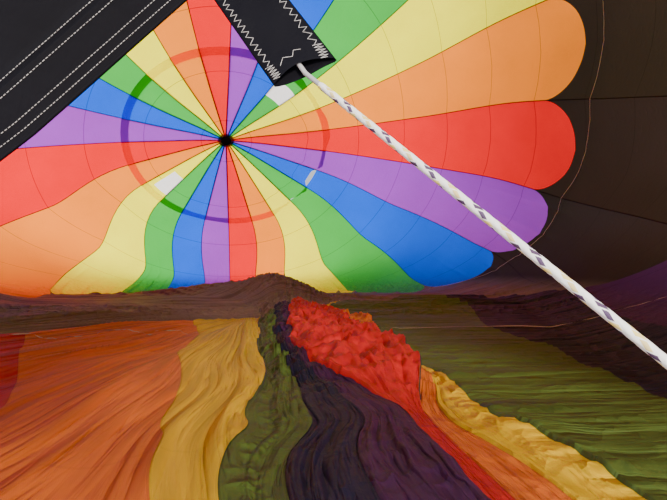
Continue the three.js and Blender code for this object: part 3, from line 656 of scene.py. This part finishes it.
for r in range(len(parachute_rows) - 1):
    for c in range(columns):
        corners = ((r, c), (r + 1, c), (r + 1, c + 1), (r, c + 1))
        face = panel.faces.new([vertices[i][j % columns] for i, j in corners])
        face.material_index = (c // parachute_columns) % len(colour_names)
        for gore, across_low, across_high, s_low, s_high in white_inserts:
            in_gore = c // parachute_columns == gore and across_low <= c % parachute_columns < across_high
            if in_gore and s_low < (parachute_rows[r] + parachute_rows[r + 1]) / 2 < s_high:
                face.material_index = len(colour_names)
        face.smooth = True
        for loop, (i, j) in zip(face.loops, corners):
            loop[uv_layer].uv = (j / parachute_columns - c // parachute_columns, parachute_rows[i])
panel.faces.new([vertices[0][c] for c in range(columns)][::-1])
panel_mesh = bpy.data.meshes.new("parachute_cloth")
panel.to_mesh(panel_mesh)
panel.free()
parachute_piece = add_piece("parachute_cloth", panel_mesh, "parachute",
                            [ripstop_of[c] for c in colour_names] + [white_cloth])
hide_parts("parachute_panel")

# Load tapes. Black polyester tape, 16 mm wide, sewn outside along each seam, and pale 15 mm
# tape sewn inside right round the envelope, at the belt's upper edge and below it.


def finish(tree, pattern, dark, light, relief, gloss):
    """Ends a material whose tone and fine relief (strength, metres) follow one pattern."""
    tone = node(tree, "ShaderNodeMix", {0: pattern, 6: linear(dark), 7: linear(light)}, data_type="RGBA")
    raised = node(tree, "ShaderNodeBump", {"Height": pattern, "Strength": relief[0], "Distance": relief[1]})
    shader = node(tree, "ShaderNodeBsdfPrincipled", {
        "Base Color": tone.outputs[2], "Normal": raised.outputs[0], **gloss})
    node(tree, "ShaderNodeOutputMaterial", {"Surface": shader.outputs[0]})


def tape_material(name, dark, light, roughness):
    """Woven polyester tape: fine slanting ribs, which catch the light in turn."""
    made, tree = new_material(name)
    place = node(tree, "ShaderNodeTexCoord").outputs["Object"]
    ribs = node(tree, "ShaderNodeTexWave", {"Vector": place, "Scale": 320.0, "Distortion": 1.5},
                bands_direction="DIAGONAL")
    finish(tree, ribs.outputs["Fac"], dark, light, (0.4, 0.0006), {"Roughness": roughness})
    return made


black_tape = tape_material("black_polyester_tape", "141318", "2c2a30", 0.6)
pale_tape = tape_material("pale_polyester_tape", "9c968c", "c9c2b6", 0.65)
brown_webbing = tape_material("brown_webbing", "5a4638", "7a6452", 0.7)


def ribbon_mesh(name, centre_lines, side_lines, width):
    """Flat tapes along lines of points, each with its own sideways directions."""
    points, quads = [], []
    for centres, sides in zip(centre_lines, side_lines):
        start = len(points)
        for centre, side in zip(centres, sides):
            points += [tuple(centre - side * width / 2), tuple(centre + side * width / 2)]
        quads += [(start + 2 * i, start + 2 * i + 1, start + 2 * i + 3, start + 2 * i + 2)
                  for i in range(len(centres) - 1)]
    return smooth_mesh(name, points, [], quads)


seam_columns = first_column[:-1]
seam_tape_width, ring_tape_width = 0.016, 0.015
seam_lift = 0.004
seam_drop = 0.01  # further down under folds that lie on the ground
lowest_tape = 0.0005
seam_lines = [cloth[:, c] + normals[:, c] * seam_lift for c in seam_columns]
seam_sides = [cloth[:, (c + 2) % len(seam_values)] - cloth[:, c] for c in seam_columns]
for line, sides, c in zip(seam_lines, seam_sides, seam_columns):
    line[:, 2] = np.maximum(line[:, 2] - seam_drop * on_ground[:, c], lowest_tape)
    sides[:, 2] *= 1 - on_ground[:, c]
    sides[:] = unit(sides)
add_piece("seam_load_tapes", ribbon_mesh("seam_load_tapes", seam_lines, seam_sides, seam_tape_width),
          "envelope", [black_tape])

ring_tapes = (  # metres from the crown, first and last seam: the lower tape stops short of the heap
    (10.25, 0.0, 24.0),
    (17.2, 10.0, 27.0),
)
ring_depth, fold_reach = 0.006, 6  # metres inside the cloth, and columns that a fold's top spans
turned = np.concatenate([seam_values, seam_values + gore_count])
not_flap = np.concatenate([part, part]) < 1
ring_lines, ring_sides = [], []
for s, seam_low, seam_high in ring_tapes:
    row = int(np.searchsorted(row_values, s))
    take = np.flatnonzero(not_flap & (turned >= seam_low) & (turned <= seam_high)) % len(seam_values)
    line = cloth[row, take] - normals[row, take] * ring_depth
    fold_top = np.max([np.roll(line[:, 2], i) for i in range(-fold_reach, fold_reach + 1)], 0)
    line[:, 2] += (fold_top - line[:, 2]) * on_ground[row, take]
    ring_lines.append(line)
    ring_sides.append(unit(cloth[row + 1, take] - cloth[row, take]))
add_piece("ring_tapes", ribbon_mesh("ring_tapes", ring_lines, ring_sides, ring_tape_width),
          "envelope", [pale_tape])

# Black cloth of the scoop, its strap and the hem: closely woven, matt, coated on the inside,
# so it shows a soft grey-blue sheen where it turns to the sky.
black_cloth, tree = new_material("black_coated_cloth")
place = node(tree, "ShaderNodeTexCoord").outputs["Object"]
cloud = node(tree, "ShaderNodeTexNoise", {"Vector": place, "Scale": 6.0, "Detail": 5.0})
weave, cross = (node(tree, "ShaderNodeTexWave", {"Vector": place, "Scale": 260.0, "Distortion": 0.6},
                     bands_direction=way) for way in "XZ")
threads = node(tree, "ShaderNodeMath", {0: weave.outputs["Fac"], 1: cross.outputs["Fac"]}, operation="ADD")
tone = node(tree, "ShaderNodeMix", {
    0: cloud.outputs[0], 6: linear("050409"), 7: linear("0f0e17")}, data_type="RGBA")
raised = node(tree, "ShaderNodeBump", {"Height": threads.outputs[0], "Strength": 0.35, "Distance": 0.0005})
creased = node(tree, "ShaderNodeBump", {"Height": cloud.outputs[0], "Strength": 0.5, "Distance": 0.02,
                                        "Normal": raised.outputs[0]})
shader = node(tree, "ShaderNodeBsdfPrincipled", {
    "Base Color": tone.outputs[2], "Roughness": 0.6, "Specular IOR Level": 0.1, "Normal": creased.outputs[0]})
node(tree, "ShaderNodeOutputMaterial", {"Surface": shader.outputs[0]})

white_thread, tree = new_material("white_sewing_thread")
place = node(tree, "ShaderNodeTexCoord").outputs["Object"]
twist = node(tree, "ShaderNodeTexNoise", {"Vector": place, "Scale": 260.0, "Detail": 2.0})
tone = node(tree, "ShaderNodeMix", {
    0: twist.outputs[0], 6: linear("5f5a5a"), 7: linear("dedad8")}, data_type="RGBA")
shader = node(tree, "ShaderNodeBsdfPrincipled", {"Base Color": tone.outputs[2], "Roughness": 0.6})
node(tree, "ShaderNodeOutputMaterial", {"Surface": shader.outputs[0]})


sewing_inputs = (  # name, kind and usual value
    ("Lines", "Geometry", None), ("Pitch", "Float", 0.005), ("Stitch Length", "Float", 0.0034),
    ("Thread Radius", "Float", 0.0005), ("Thread", "Material", None),
)


def sewing_group(name, dashed):
    """Geometry nodes that lay thread along lines: separate stitches, or one unbroken thread."""
    group = bpy.data.node_groups.new(name, "GeometryNodeTree")
    for socket_name, kind, value in sewing_inputs:
        socket = group.interface.new_socket(socket_name, in_out="INPUT", socket_type="NodeSocket" + kind)
        if value is not None:
            socket.default_value = value
    group.interface.new_socket("Sewing", in_out="OUTPUT", socket_type="NodeSocketGeometry")
    source = group.nodes.new("NodeGroupInput")
    curve = node(group, "GeometryNodeMeshToCurve", {0: source.outputs["Lines"]})
    if dashed:
        points = node(group, "GeometryNodeCurveToPoints", {
            "Curve": curve.outputs[0], "Length": source.outputs["Pitch"]}, mode="LENGTH")
        stitch = node(group, "GeometryNodeMeshCylinder", {
            "Vertices": 6, "Radius": source.outputs["Thread Radius"],
            "Depth": source.outputs["Stitch Length"]})
        turn = node(group, "FunctionNodeAlignEulerToVector", {"Vector": points.outputs["Tangent"]}, axis="Z")
        copies = node(group, "GeometryNodeInstanceOnPoints", {
            "Points": points.outputs[0], "Instance": stitch.outputs[0], "Rotation": turn.outputs[0]})
        sewn = copies.outputs[0]
    else:
        ring = node(group, "GeometryNodeCurvePrimitiveCircle", {
            "Resolution": 6, "Radius": source.outputs["Thread Radius"]})
        tube = node(group, "GeometryNodeCurveToMesh", {
            "Curve": curve.outputs[0], "Profile Curve": ring.outputs[0], "Fill Caps": True})
        sewn = tube.outputs[0]
    laid = node(group, "GeometryNodeRealizeInstances", {0: sewn})
    coloured = node(group, "GeometryNodeSetMaterial", {
        "Geometry": laid.outputs[0], "Material": source.outputs["Thread"]})
    target = group.nodes.new("NodeGroupOutput")
    group.links.new(coloured.outputs[0], target.inputs[0])
    return group


stitch_group = sewing_group("separate_stitches", True)
thread_group = sewing_group("unbroken_thread", False)


def sew(name, lines, group, values, body="envelope"):
    """Runs the sewing nodes along lines of points and keeps the result as a plain mesh piece."""
    points, edges = [], []
    for line in lines:
        edges += [(len(points) + i, len(points) + i + 1) for i in range(len(line) - 1)]
        points += [tuple(p) for p in line]
    lines_mesh = smooth_mesh(name + "_lines", points, edges, [])
    carrier = add_object(name + "_lines", lines_mesh)
    modifier = carrier.modifiers.new("sewing", "NODES")
    modifier.node_group = group
    for item in group.interface.items_tree:
        if item.in_out == "INPUT" and item.name in values:
            modifier[item.identifier] = values[item.name]
    bpy.context.view_layer.update()
    evaluated = carrier.evaluated_get(bpy.context.evaluated_depsgraph_get())
    mesh = bpy.data.meshes.new_from_object(evaluated)
    mesh.name = name
    mesh.shade_smooth()
    bpy.data.objects.remove(carrier)
    bpy.data.meshes.remove(lines_mesh)
    mesh.materials.clear()
    return add_piece(name, mesh, body, [values["Thread"]])


# Scoop. A black panel between the hem's upper left and a nearly straight edge inside the mouth.
# That free edge is a folded hem, sewn down with two pairs of dashed rows.
scoop_first_seam, scoop_last_seam = 18.75, 12.25
scoop_edge_top, scoop_edge_bottom = np.array([0.3, 0.22, 1.93]), np.array([-1.4, 0.22, 0.34])
scoop_edge_ends = 0.06  # y of the free edge's two ends
scoop_edge_sag = 0.045
scoop_inset, scoop_root_y = 0.0105, -0.04  # of the sewn edge, inside the hem
scoop_hem = 0.062  # width of the folded hem
scoop_columns, scoop_rows = 180, 40


def scoop_edge(t):
    """Points of the free edge, which sags a little at its upper end and comes back towards the
    mouth's hem at both ends."""
    t = np.asarray(t, float)
    point = scoop_edge_top * (1 - t[..., None]) + scoop_edge_bottom * t[..., None]
    point[..., 0] -= scoop_edge_sag * np.sin(np.pi * np.clip(t / 0.7, 0, 1))
    point[..., 1] = scoop_edge_ends + (scoop_edge_top[1] - scoop_edge_ends) * (1 - (2 * t - 1) ** 4)
    return point


def scoop_root(t):
    """Points of the panel's sewn edge, just inside the hem."""
    seams = scoop_first_seam + (scoop_last_seam - scoop_first_seam) * np.asarray(t, float)
    here = ring_at(gore_length, seams)[0]
    ahead = ring_at(gore_length, seams + 0.25)[0] - ring_at(gore_length, seams - 0.25)[0]
    inward = unit(np.stack([ahead[:, 2], 0 * ahead[:, 2], -ahead[:, 0]], 1))
    root = here + inward * scoop_inset
    root[:, 1] = scoop_root_y
    return root


def scoop_point(t, from_edge):
    """A point of the panel at a distance from its free edge, with the cloth's slack."""
    edge, root = scoop_edge(t), scoop_root(t)
    reach = np.linalg.norm(root - edge, axis=1)
    share = np.clip(from_edge / reach, 0, 1)
    point = edge + (root - edge) * share[:, None]
    x, z = point[:, 0], point[:, 2]
    slack = np.sin(np.pi * share) ** 0.8
    billow = 0.03 * (value_noise(x * 4, z * 4 + 9, 81) - 0.4)
    creasing = 0.012 * (crumple(x * 7 + z * 3, z * 2, 82, 2) - 0.5)
    point[:, 1] += slack * (billow + creasing)
    return point


scoop_t = np.linspace(0, 1, scoop_columns + 1)
scoop_reach = np.linalg.norm(scoop_root(scoop_t) - scoop_edge(scoop_t), axis=1)
# Rows by the free edge, in metres from it, which close up where the panel is narrow.
near_rows = (0, 0.001, 0.003, 0.02, 0.04, scoop_hem - 0.001, scoop_hem, scoop_hem + 0.0006, 0.08, 0.11)
near_share = np.minimum(scoop_reach / 0.25, 1)
row_places = [near_share * d for d in near_rows]
row_places += [row_places[-1] + (scoop_reach - row_places[-1]) * share
               for share in np.arange(1, scoop_rows + 1) / scoop_rows]
hem_fold = 0.0016  # the folded hem stands this far proud of the panel
scoop_grid = []
for d in row_places:
    row_points = scoop_point(scoop_t, d)
    row_points[:, 1] -= hem_fold * (d < (scoop_hem + 0.0003) * near_share)
    scoop_grid.append(row_points)
scoop_along = np.linspace(0, 1, len(scoop_grid))[:, None]
scoop_mesh = grid_mesh("scoop_cloth", np.stack(scoop_grid), scoop_t, scoop_along)
scoop = add_piece("scoop_cloth", scoop_mesh, "envelope", [black_cloth])
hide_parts("scoop_panel")

# Metres from the free edge, and in front of the panel: the last row is on single cloth.
stitch_rows = ((0.011, 0.0022), (0.023, 0.0022), (0.054, 0.0022), (0.069, 0.0008))
hem_lines = []
for from_edge, in_front in stitch_rows:
    line = scoop_point(np.linspace(0.02, 0.98, 400), from_edge)
    line[:, 1] -= in_front
    hem_lines.append(line)
scoop_stitches = sew("scoop_stitches", hem_lines, stitch_group, {
    "Pitch": 0.0052, "Stitch Length": 0.0034, "Thread Radius": 0.00055, "Thread": white_thread})
edge_bead = scoop_point(np.linspace(0.0, 1.0, 300), 0.001)
edge_roll = sew("scoop_edge_roll", [edge_bead], thread_group, {
    "Thread Radius": 0.0028, "Thread": black_cloth})

# Strap. A flat black tube of the same cloth, 81 mm wide, sewn to the scoop's free edge. Its open
# end is a pocket that takes the rope. White zigzag rows run along its edges and across the
# pocket's lip, with tight rows at the corners.
strap_width, strap_half = 0.081, 0.003
strap_slant = 0.009  # its cut end runs a little slantwise
strap_root_share = 0.556  # of the scoop's free edge, from its top
strap_overlap, strap_proud = 0.035, 0.012  # of its root, on the scoop and in front of it
pocket_depth, pocket_puff, strap_softness = 0.05, 0.0045, 0.0022
strap_end = np.array([-0.557, 0.130, 0.888])
strap_face = np.array([-0.2, -0.98, 0.0])
edge_direction = unit((scoop_edge_bottom - scoop_edge_top) * [1, 0, 1])
strap_root = scoop_edge_top * (1 - strap_root_share) + scoop_edge_bottom * strap_root_share
strap_direction = unit(strap_end - strap_root)
strap_root = strap_root - strap_direction * strap_overlap - [0, strap_proud, 0]
strap_side = unit(np.cross(strap_direction, strap_face))
strap_normal = unit(np.cross(strap_side, strap_direction))
strap_length = float(np.linalg.norm(strap_end - strap_root))
strap_columns, strap_rows = 36, 90
lip_place = 0.013  # the front layer ends this far above the back layer's end


def strap_point(across, along, front):
    """A point of the strap: across -1 to 1, metres along from the root, front or back layer."""
    across, along = np.broadcast_arrays(np.asarray(across, float), np.asarray(along, float))
    root_offset = edge_direction * strap_width / 2 / (strap_side @ edge_direction)
    start = strap_root + across[..., None] * root_offset
    end = strap_end + across[..., None] * (strap_side * strap_width / 2 - strap_direction * strap_slant)
    share = (along / strap_length)[..., None]
    point = start + (end - start) * share
    pocket = smooth_step(along, strap_length - pocket_depth, strap_length)
    rounding = np.sqrt(np.maximum(1 - across**8, 0))
    puff = pocket_puff * pocket * np.cos(np.pi / 2 * np.clip(across - 0.15, -1, 1)) ** 2
    soft = strap_softness * (value_noise(across * 1.6 + 5, along * 26, 91) - 0.5) * rounding
    depth = strap_half * rounding + puff + soft if front else soft - strap_half * rounding - 0.6 * puff
    return point + strap_normal * depth[..., None]


strap_points, strap_quads = [], []
across_values = np.sin(np.linspace(-np.pi / 2, np.pi / 2, strap_columns + 1))
for front in (True, False):
    first = len(strap_points)
    for r in range(strap_rows + 1):
        limit = strap_length - (lip_place * np.cos(np.pi / 2 * across_values * 0.92) if front else 0)
        layer = strap_point(across_values, limit * r / strap_rows, front)
        strap_points += [tuple(p) for p in layer]
    for r in range(strap_rows):
        for c in range(strap_columns):
            a = first + r * (strap_columns + 1) + c
            quad = (a, a + 1, a + strap_columns + 2, a + strap_columns + 1)
            strap_quads.append(quad if front else quad[::-1])
strap_mesh = smooth_mesh("scoop_strap_cloth", strap_points, [], strap_quads)
strap = add_piece("scoop_strap_cloth", strap_mesh, "envelope", [black_cloth])
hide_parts("scoop_strap")


def zigzag(start, end, pitch, height, seed):
    """A zigzag between two places on the strap, each (across, along), with uneven teeth."""
    start, end = np.array(start), np.array(end)
    scale = np.array([strap_width / 2, 1.0])
    run = (end - start) * scale
    length = float(np.linalg.norm(run))
    sideways = np.array([-run[1], run[0]]) / length
    count = int(length / pitch * 2)
    jitter = np.random.default_rng(seed)
    places = []
    for i in range(count + 1):
        tooth = (height / 2 if i % 2 else -height / 2) * jitter.uniform(0.8, 1.1)
        slide = jitter.uniform(-0.15, 0.15) * pitch
        place = start * scale + run * i / count + sideways * tooth + run / length * slide
        places.append(place / scale)
    fine = np.concatenate([np.linspace(a, b, 4, endpoint=False) for a, b in zip(places, places[1:])])
    return strap_point(fine[:, 0], fine[:, 1], True) + strap_normal * 0.0005


zigzag_rows = [
    zigzag((-0.78, 0.0), (-0.78, strap_length - 0.03), 0.0118, 0.0085, 1),  # start, end, pitch, height, seed
    zigzag((0.78, 0.0), (0.78, strap_length - 0.03), 0.0118, 0.0085, 2),
    zigzag((0.5, strap_length - 0.025), (-0.4, strap_length - 0.036), 0.018, 0.008, 3),
    zigzag((-0.8, strap_length - 0.03), (-0.76, strap_length - 0.006), 0.0042, 0.011, 4),
    zigzag((0.8, strap_length - 0.03), (0.78, strap_length - 0.006), 0.0042, 0.011, 5),
]
strap_stitches = sew("strap_stitches", zigzag_rows, thread_group, {
    "Thread Radius": 0.00042, "Thread": white_thread})

# Rope. Eight plaited strands of white polyester: most plain, four with a coloured yarn in the
# middle. Its first few centimetres are bound with grey tape, where it goes into the pocket. A
# small clip on the ground in front of the mouth draws it straight.
rope_start = Vector(strap_end)
rope_foot = Vector((0.100, -0.695, 0.0118))
rope_radius = 0.0045
rope_lead = 0.068  # length of one strand's full turn
rope_lays = 4  # strands that turn each way
rope_around, rope_step = 32, 0.0022
rope_inner_rings = 9  # of the rope's end inside the pocket
rope_groove = 0.14  # of its radius, where two strands meet
binding_length, binding_depth = 0.03, 0.0008
rope_axis = (rope_foot - rope_start).normalized()
rope_inside = rope_start - Vector(strap_direction) * 0.02 + Vector(strap_normal) * 0.003
rope_length = (rope_foot - rope_start).length
rope_count = int(rope_length / rope_step)
turn_x = rope_axis.orthogonal().normalized()
turn_y = rope_axis.cross(turn_x)
rope_points = []
for i in range(-rope_inner_rings, rope_count + 1):
    along = i * rope_length / rope_count
    if i >= 0:
        centre = rope_start + rope_axis * along
    else:
        centre = rope_start.lerp(rope_inside, -i / rope_inner_rings)
    bound = 1 - float(smooth_step(along, binding_length, binding_length + 0.004))
    for j in range(rope_around):
        around = j / rope_around
        s_strand = (around + along / rope_lead) * rope_lays % rope_lays
        z_strand = (around - along / rope_lead) * rope_lays % rope_lays
        over = (int(s_strand) + int(z_strand)) % 2 == 0
        place = (s_strand if over else z_strand) % 1
        crown = math.sqrt(max(0.0, 1 - (2 * place - 1) ** 2))
        strand_top = rope_groove * crown * (1 - bound)
        radius = rope_radius * (1 - rope_groove + strand_top) - binding_depth * bound
        angle = 2 * math.pi * around
        rope_points.append(centre + radius * (math.cos(angle) * turn_x + math.sin(angle) * turn_y))
rope_quads = []
last_ring = (rope_count + rope_inner_rings) * rope_around
for ring in range(0, last_ring, rope_around):
    for j in range(rope_around):
        a, b = ring + j, ring + (j + 1) % rope_around
        rope_quads.append((a, b, b + rope_around, a + rope_around))
rope_ends = [tuple(range(rope_around))[::-1], tuple(range(last_ring, last_ring + rope_around))]
rope_mesh = smooth_mesh("plaited_rope", rope_points, [], rope_quads + rope_ends)
rope_map = rope_mesh.uv_layers.new(name="rope")  # once around, and metres along
loop_vertices = np.empty(len(rope_mesh.loops), int)
rope_mesh.loops.foreach_get("vertex_index", loop_vertices)
ring_number, ring_place = np.divmod(loop_vertices, rope_around)
corner = np.arange(len(loop_vertices)) % 4
closing = (ring_place == 0) & ((corner == 1) | (corner == 2))  # the far side of the last quads
wrapped = np.where(closing, 1.0, ring_place / rope_around)
metres = (ring_number - rope_inner_rings) * rope_length / rope_count
rope_map.data.foreach_set("uv", np.stack([wrapped, metres], 1).ravel())

rope_material, tree = new_material("plaited_polyester_rope")
uv = node(tree, "ShaderNodeUVMap", uv_map="rope")
place = node(tree, "ShaderNodeSeparateXYZ", {0: uv.outputs[0]})
here = node(tree, "ShaderNodeTexCoord").outputs["Object"]
values = {"around": place.outputs[0], "along": place.outputs[1]}
rope_maths = (  # in the ripstop's way: the strand of each lay that is here, and the lay on top
    ("turns", "MULTIPLY", "along", rope_lays / rope_lead),
    ("quarters", "MULTIPLY", "around", rope_lays),
    ("s_strand", "ADD", "quarters", "turns"),
    ("s_strand", "FLOORED_MODULO", "s_strand", rope_lays),
    ("z_strand", "SUBTRACT", "quarters", "turns"),
    ("z_strand", "FLOORED_MODULO", "z_strand", rope_lays),
    ("s_number", "FLOOR", "s_strand"),
    ("z_number", "FLOOR", "z_strand"),
    ("parity", "ADD", "s_number", "z_number"),
    ("parity", "FLOORED_MODULO", "parity", 2.0),
    ("s_over", "LESS_THAN", "parity", 0.5),
    ("z_over", "SUBTRACT", 1.0, "s_over"),
    ("bound", "LESS_THAN", "along", binding_length),
)
for result, operation, *inputs in rope_maths:
    sockets = {i: values.get(value, value) for i, value in enumerate(inputs)}
    values[result] = node(tree, "ShaderNodeMath", sockets, operation=operation).outputs[0]
tracers = (("s", 0, "4d3552"), ("z", 2, "55405e"), ("s", 2, "e6cf7a"), ("z", 0, "dcc68a"))
dyed = linear("efece6")
for lay, strand, dye in tracers:
    yarns = node(tree, "ShaderNodeMath", {
        0: values[f"{lay}_strand"], 1: strand + 0.5, 2: 0.3}, operation="COMPARE")
    shown = node(tree, "ShaderNodeMath", {
        0: yarns.outputs[0], 1: values[f"{lay}_over"]}, operation="MULTIPLY")
    dyed = node(tree, "ShaderNodeMix", {
        0: shown.outputs[0], 6: dyed, 7: linear(dye)}, data_type="RGBA").outputs[2]
fuzz = node(tree, "ShaderNodeTexNoise", {"Vector": here, "Scale": 420.0, "Detail": 2.0})
taped = node(tree, "ShaderNodeMix", {0: values["bound"], 6: dyed, 7: linear("a9a6a8")}, data_type="RGBA")
raised = node(tree, "ShaderNodeBump", {"Height": fuzz.outputs[0], "Strength": 0.4, "Distance": 0.0006})
shader = node(tree, "ShaderNodeBsdfPrincipled", {
    "Base Color": taped.outputs[2], "Roughness": 0.7, "Normal": raised.outputs[0]})
node(tree, "ShaderNodeOutputMaterial", {"Surface": shader.outputs[0]})
rope = add_piece("plaited_rope", rope_mesh, "envelope", [rope_material])
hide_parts("scoop_rope")

# Metal and sewn parts that keep their CAD shape. Karabiners and rope clip: satin steel, a
# little scratched. Flying wires: stranded stainless steel, smooth where a block is pressed on.
# Crown ring and tapes: brown webbing. Centre patch and hem band: black cloth.
steel, tree = new_material("satin_karabiner_steel")
place = node(tree, "ShaderNodeTexCoord").outputs["Object"]
scratches = node(tree, "ShaderNodeTexNoise", {
    "Vector": place, "Scale": 90.0, "Detail": 6.0, "Distortion": 2.0})
worn = node(tree, "ShaderNodeMapRange", {"Value": scratches.outputs[0], "To Min": 0.22, "To Max": 0.45})
finish(tree, scratches.outputs[0], "7c8084", "c4c7ca", (0.15, 0.0004),
       {"Metallic": 1.0, "Roughness": worn.outputs[0]})

wire, tree = new_material("stranded_stainless_wire")
place = node(tree, "ShaderNodeTexCoord").outputs["Object"]
wire_foot = -2.773  # y where the wires leave the smooth block that is pressed on their ends
strands = node(tree, "ShaderNodeTexWave", {"Vector": place, "Scale": 150.0, "Distortion": 0.3},
               bands_direction="DIAGONAL")
place_y = node(tree, "ShaderNodeSeparateXYZ", {0: place}).outputs[1]
on_wire = node(tree, "ShaderNodeMath", {0: place_y, 1: wire_foot}, operation="GREATER_THAN")
lay = node(tree, "ShaderNodeMix", {0: on_wire.outputs[0], 2: 0.6, 3: strands.outputs["Fac"]})
# Painted shade: the wire's tone is darker in the grooves between its strands, following the same pattern as
# its bump.
finish(tree, lay.outputs[0], "4f5254", "b4b7ba", (0.6, 0.0008), {"Metallic": 1.0, "Roughness": 0.38})

cad_materials = (  # the start of a CAD node's name, and its material
    ("karabiner", steel), ("rope_clip", steel), ("flying_wires", wire), ("crown_ring", brown_webbing),
    ("parachute_centre_patch", black_cloth), ("mouth_hem_band", black_cloth),
)
for name, part_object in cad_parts.items():
    for start, material in cad_materials:
        if name.startswith(start):
            for material_slot in part_object.material_slots:
                material_slot.material = material
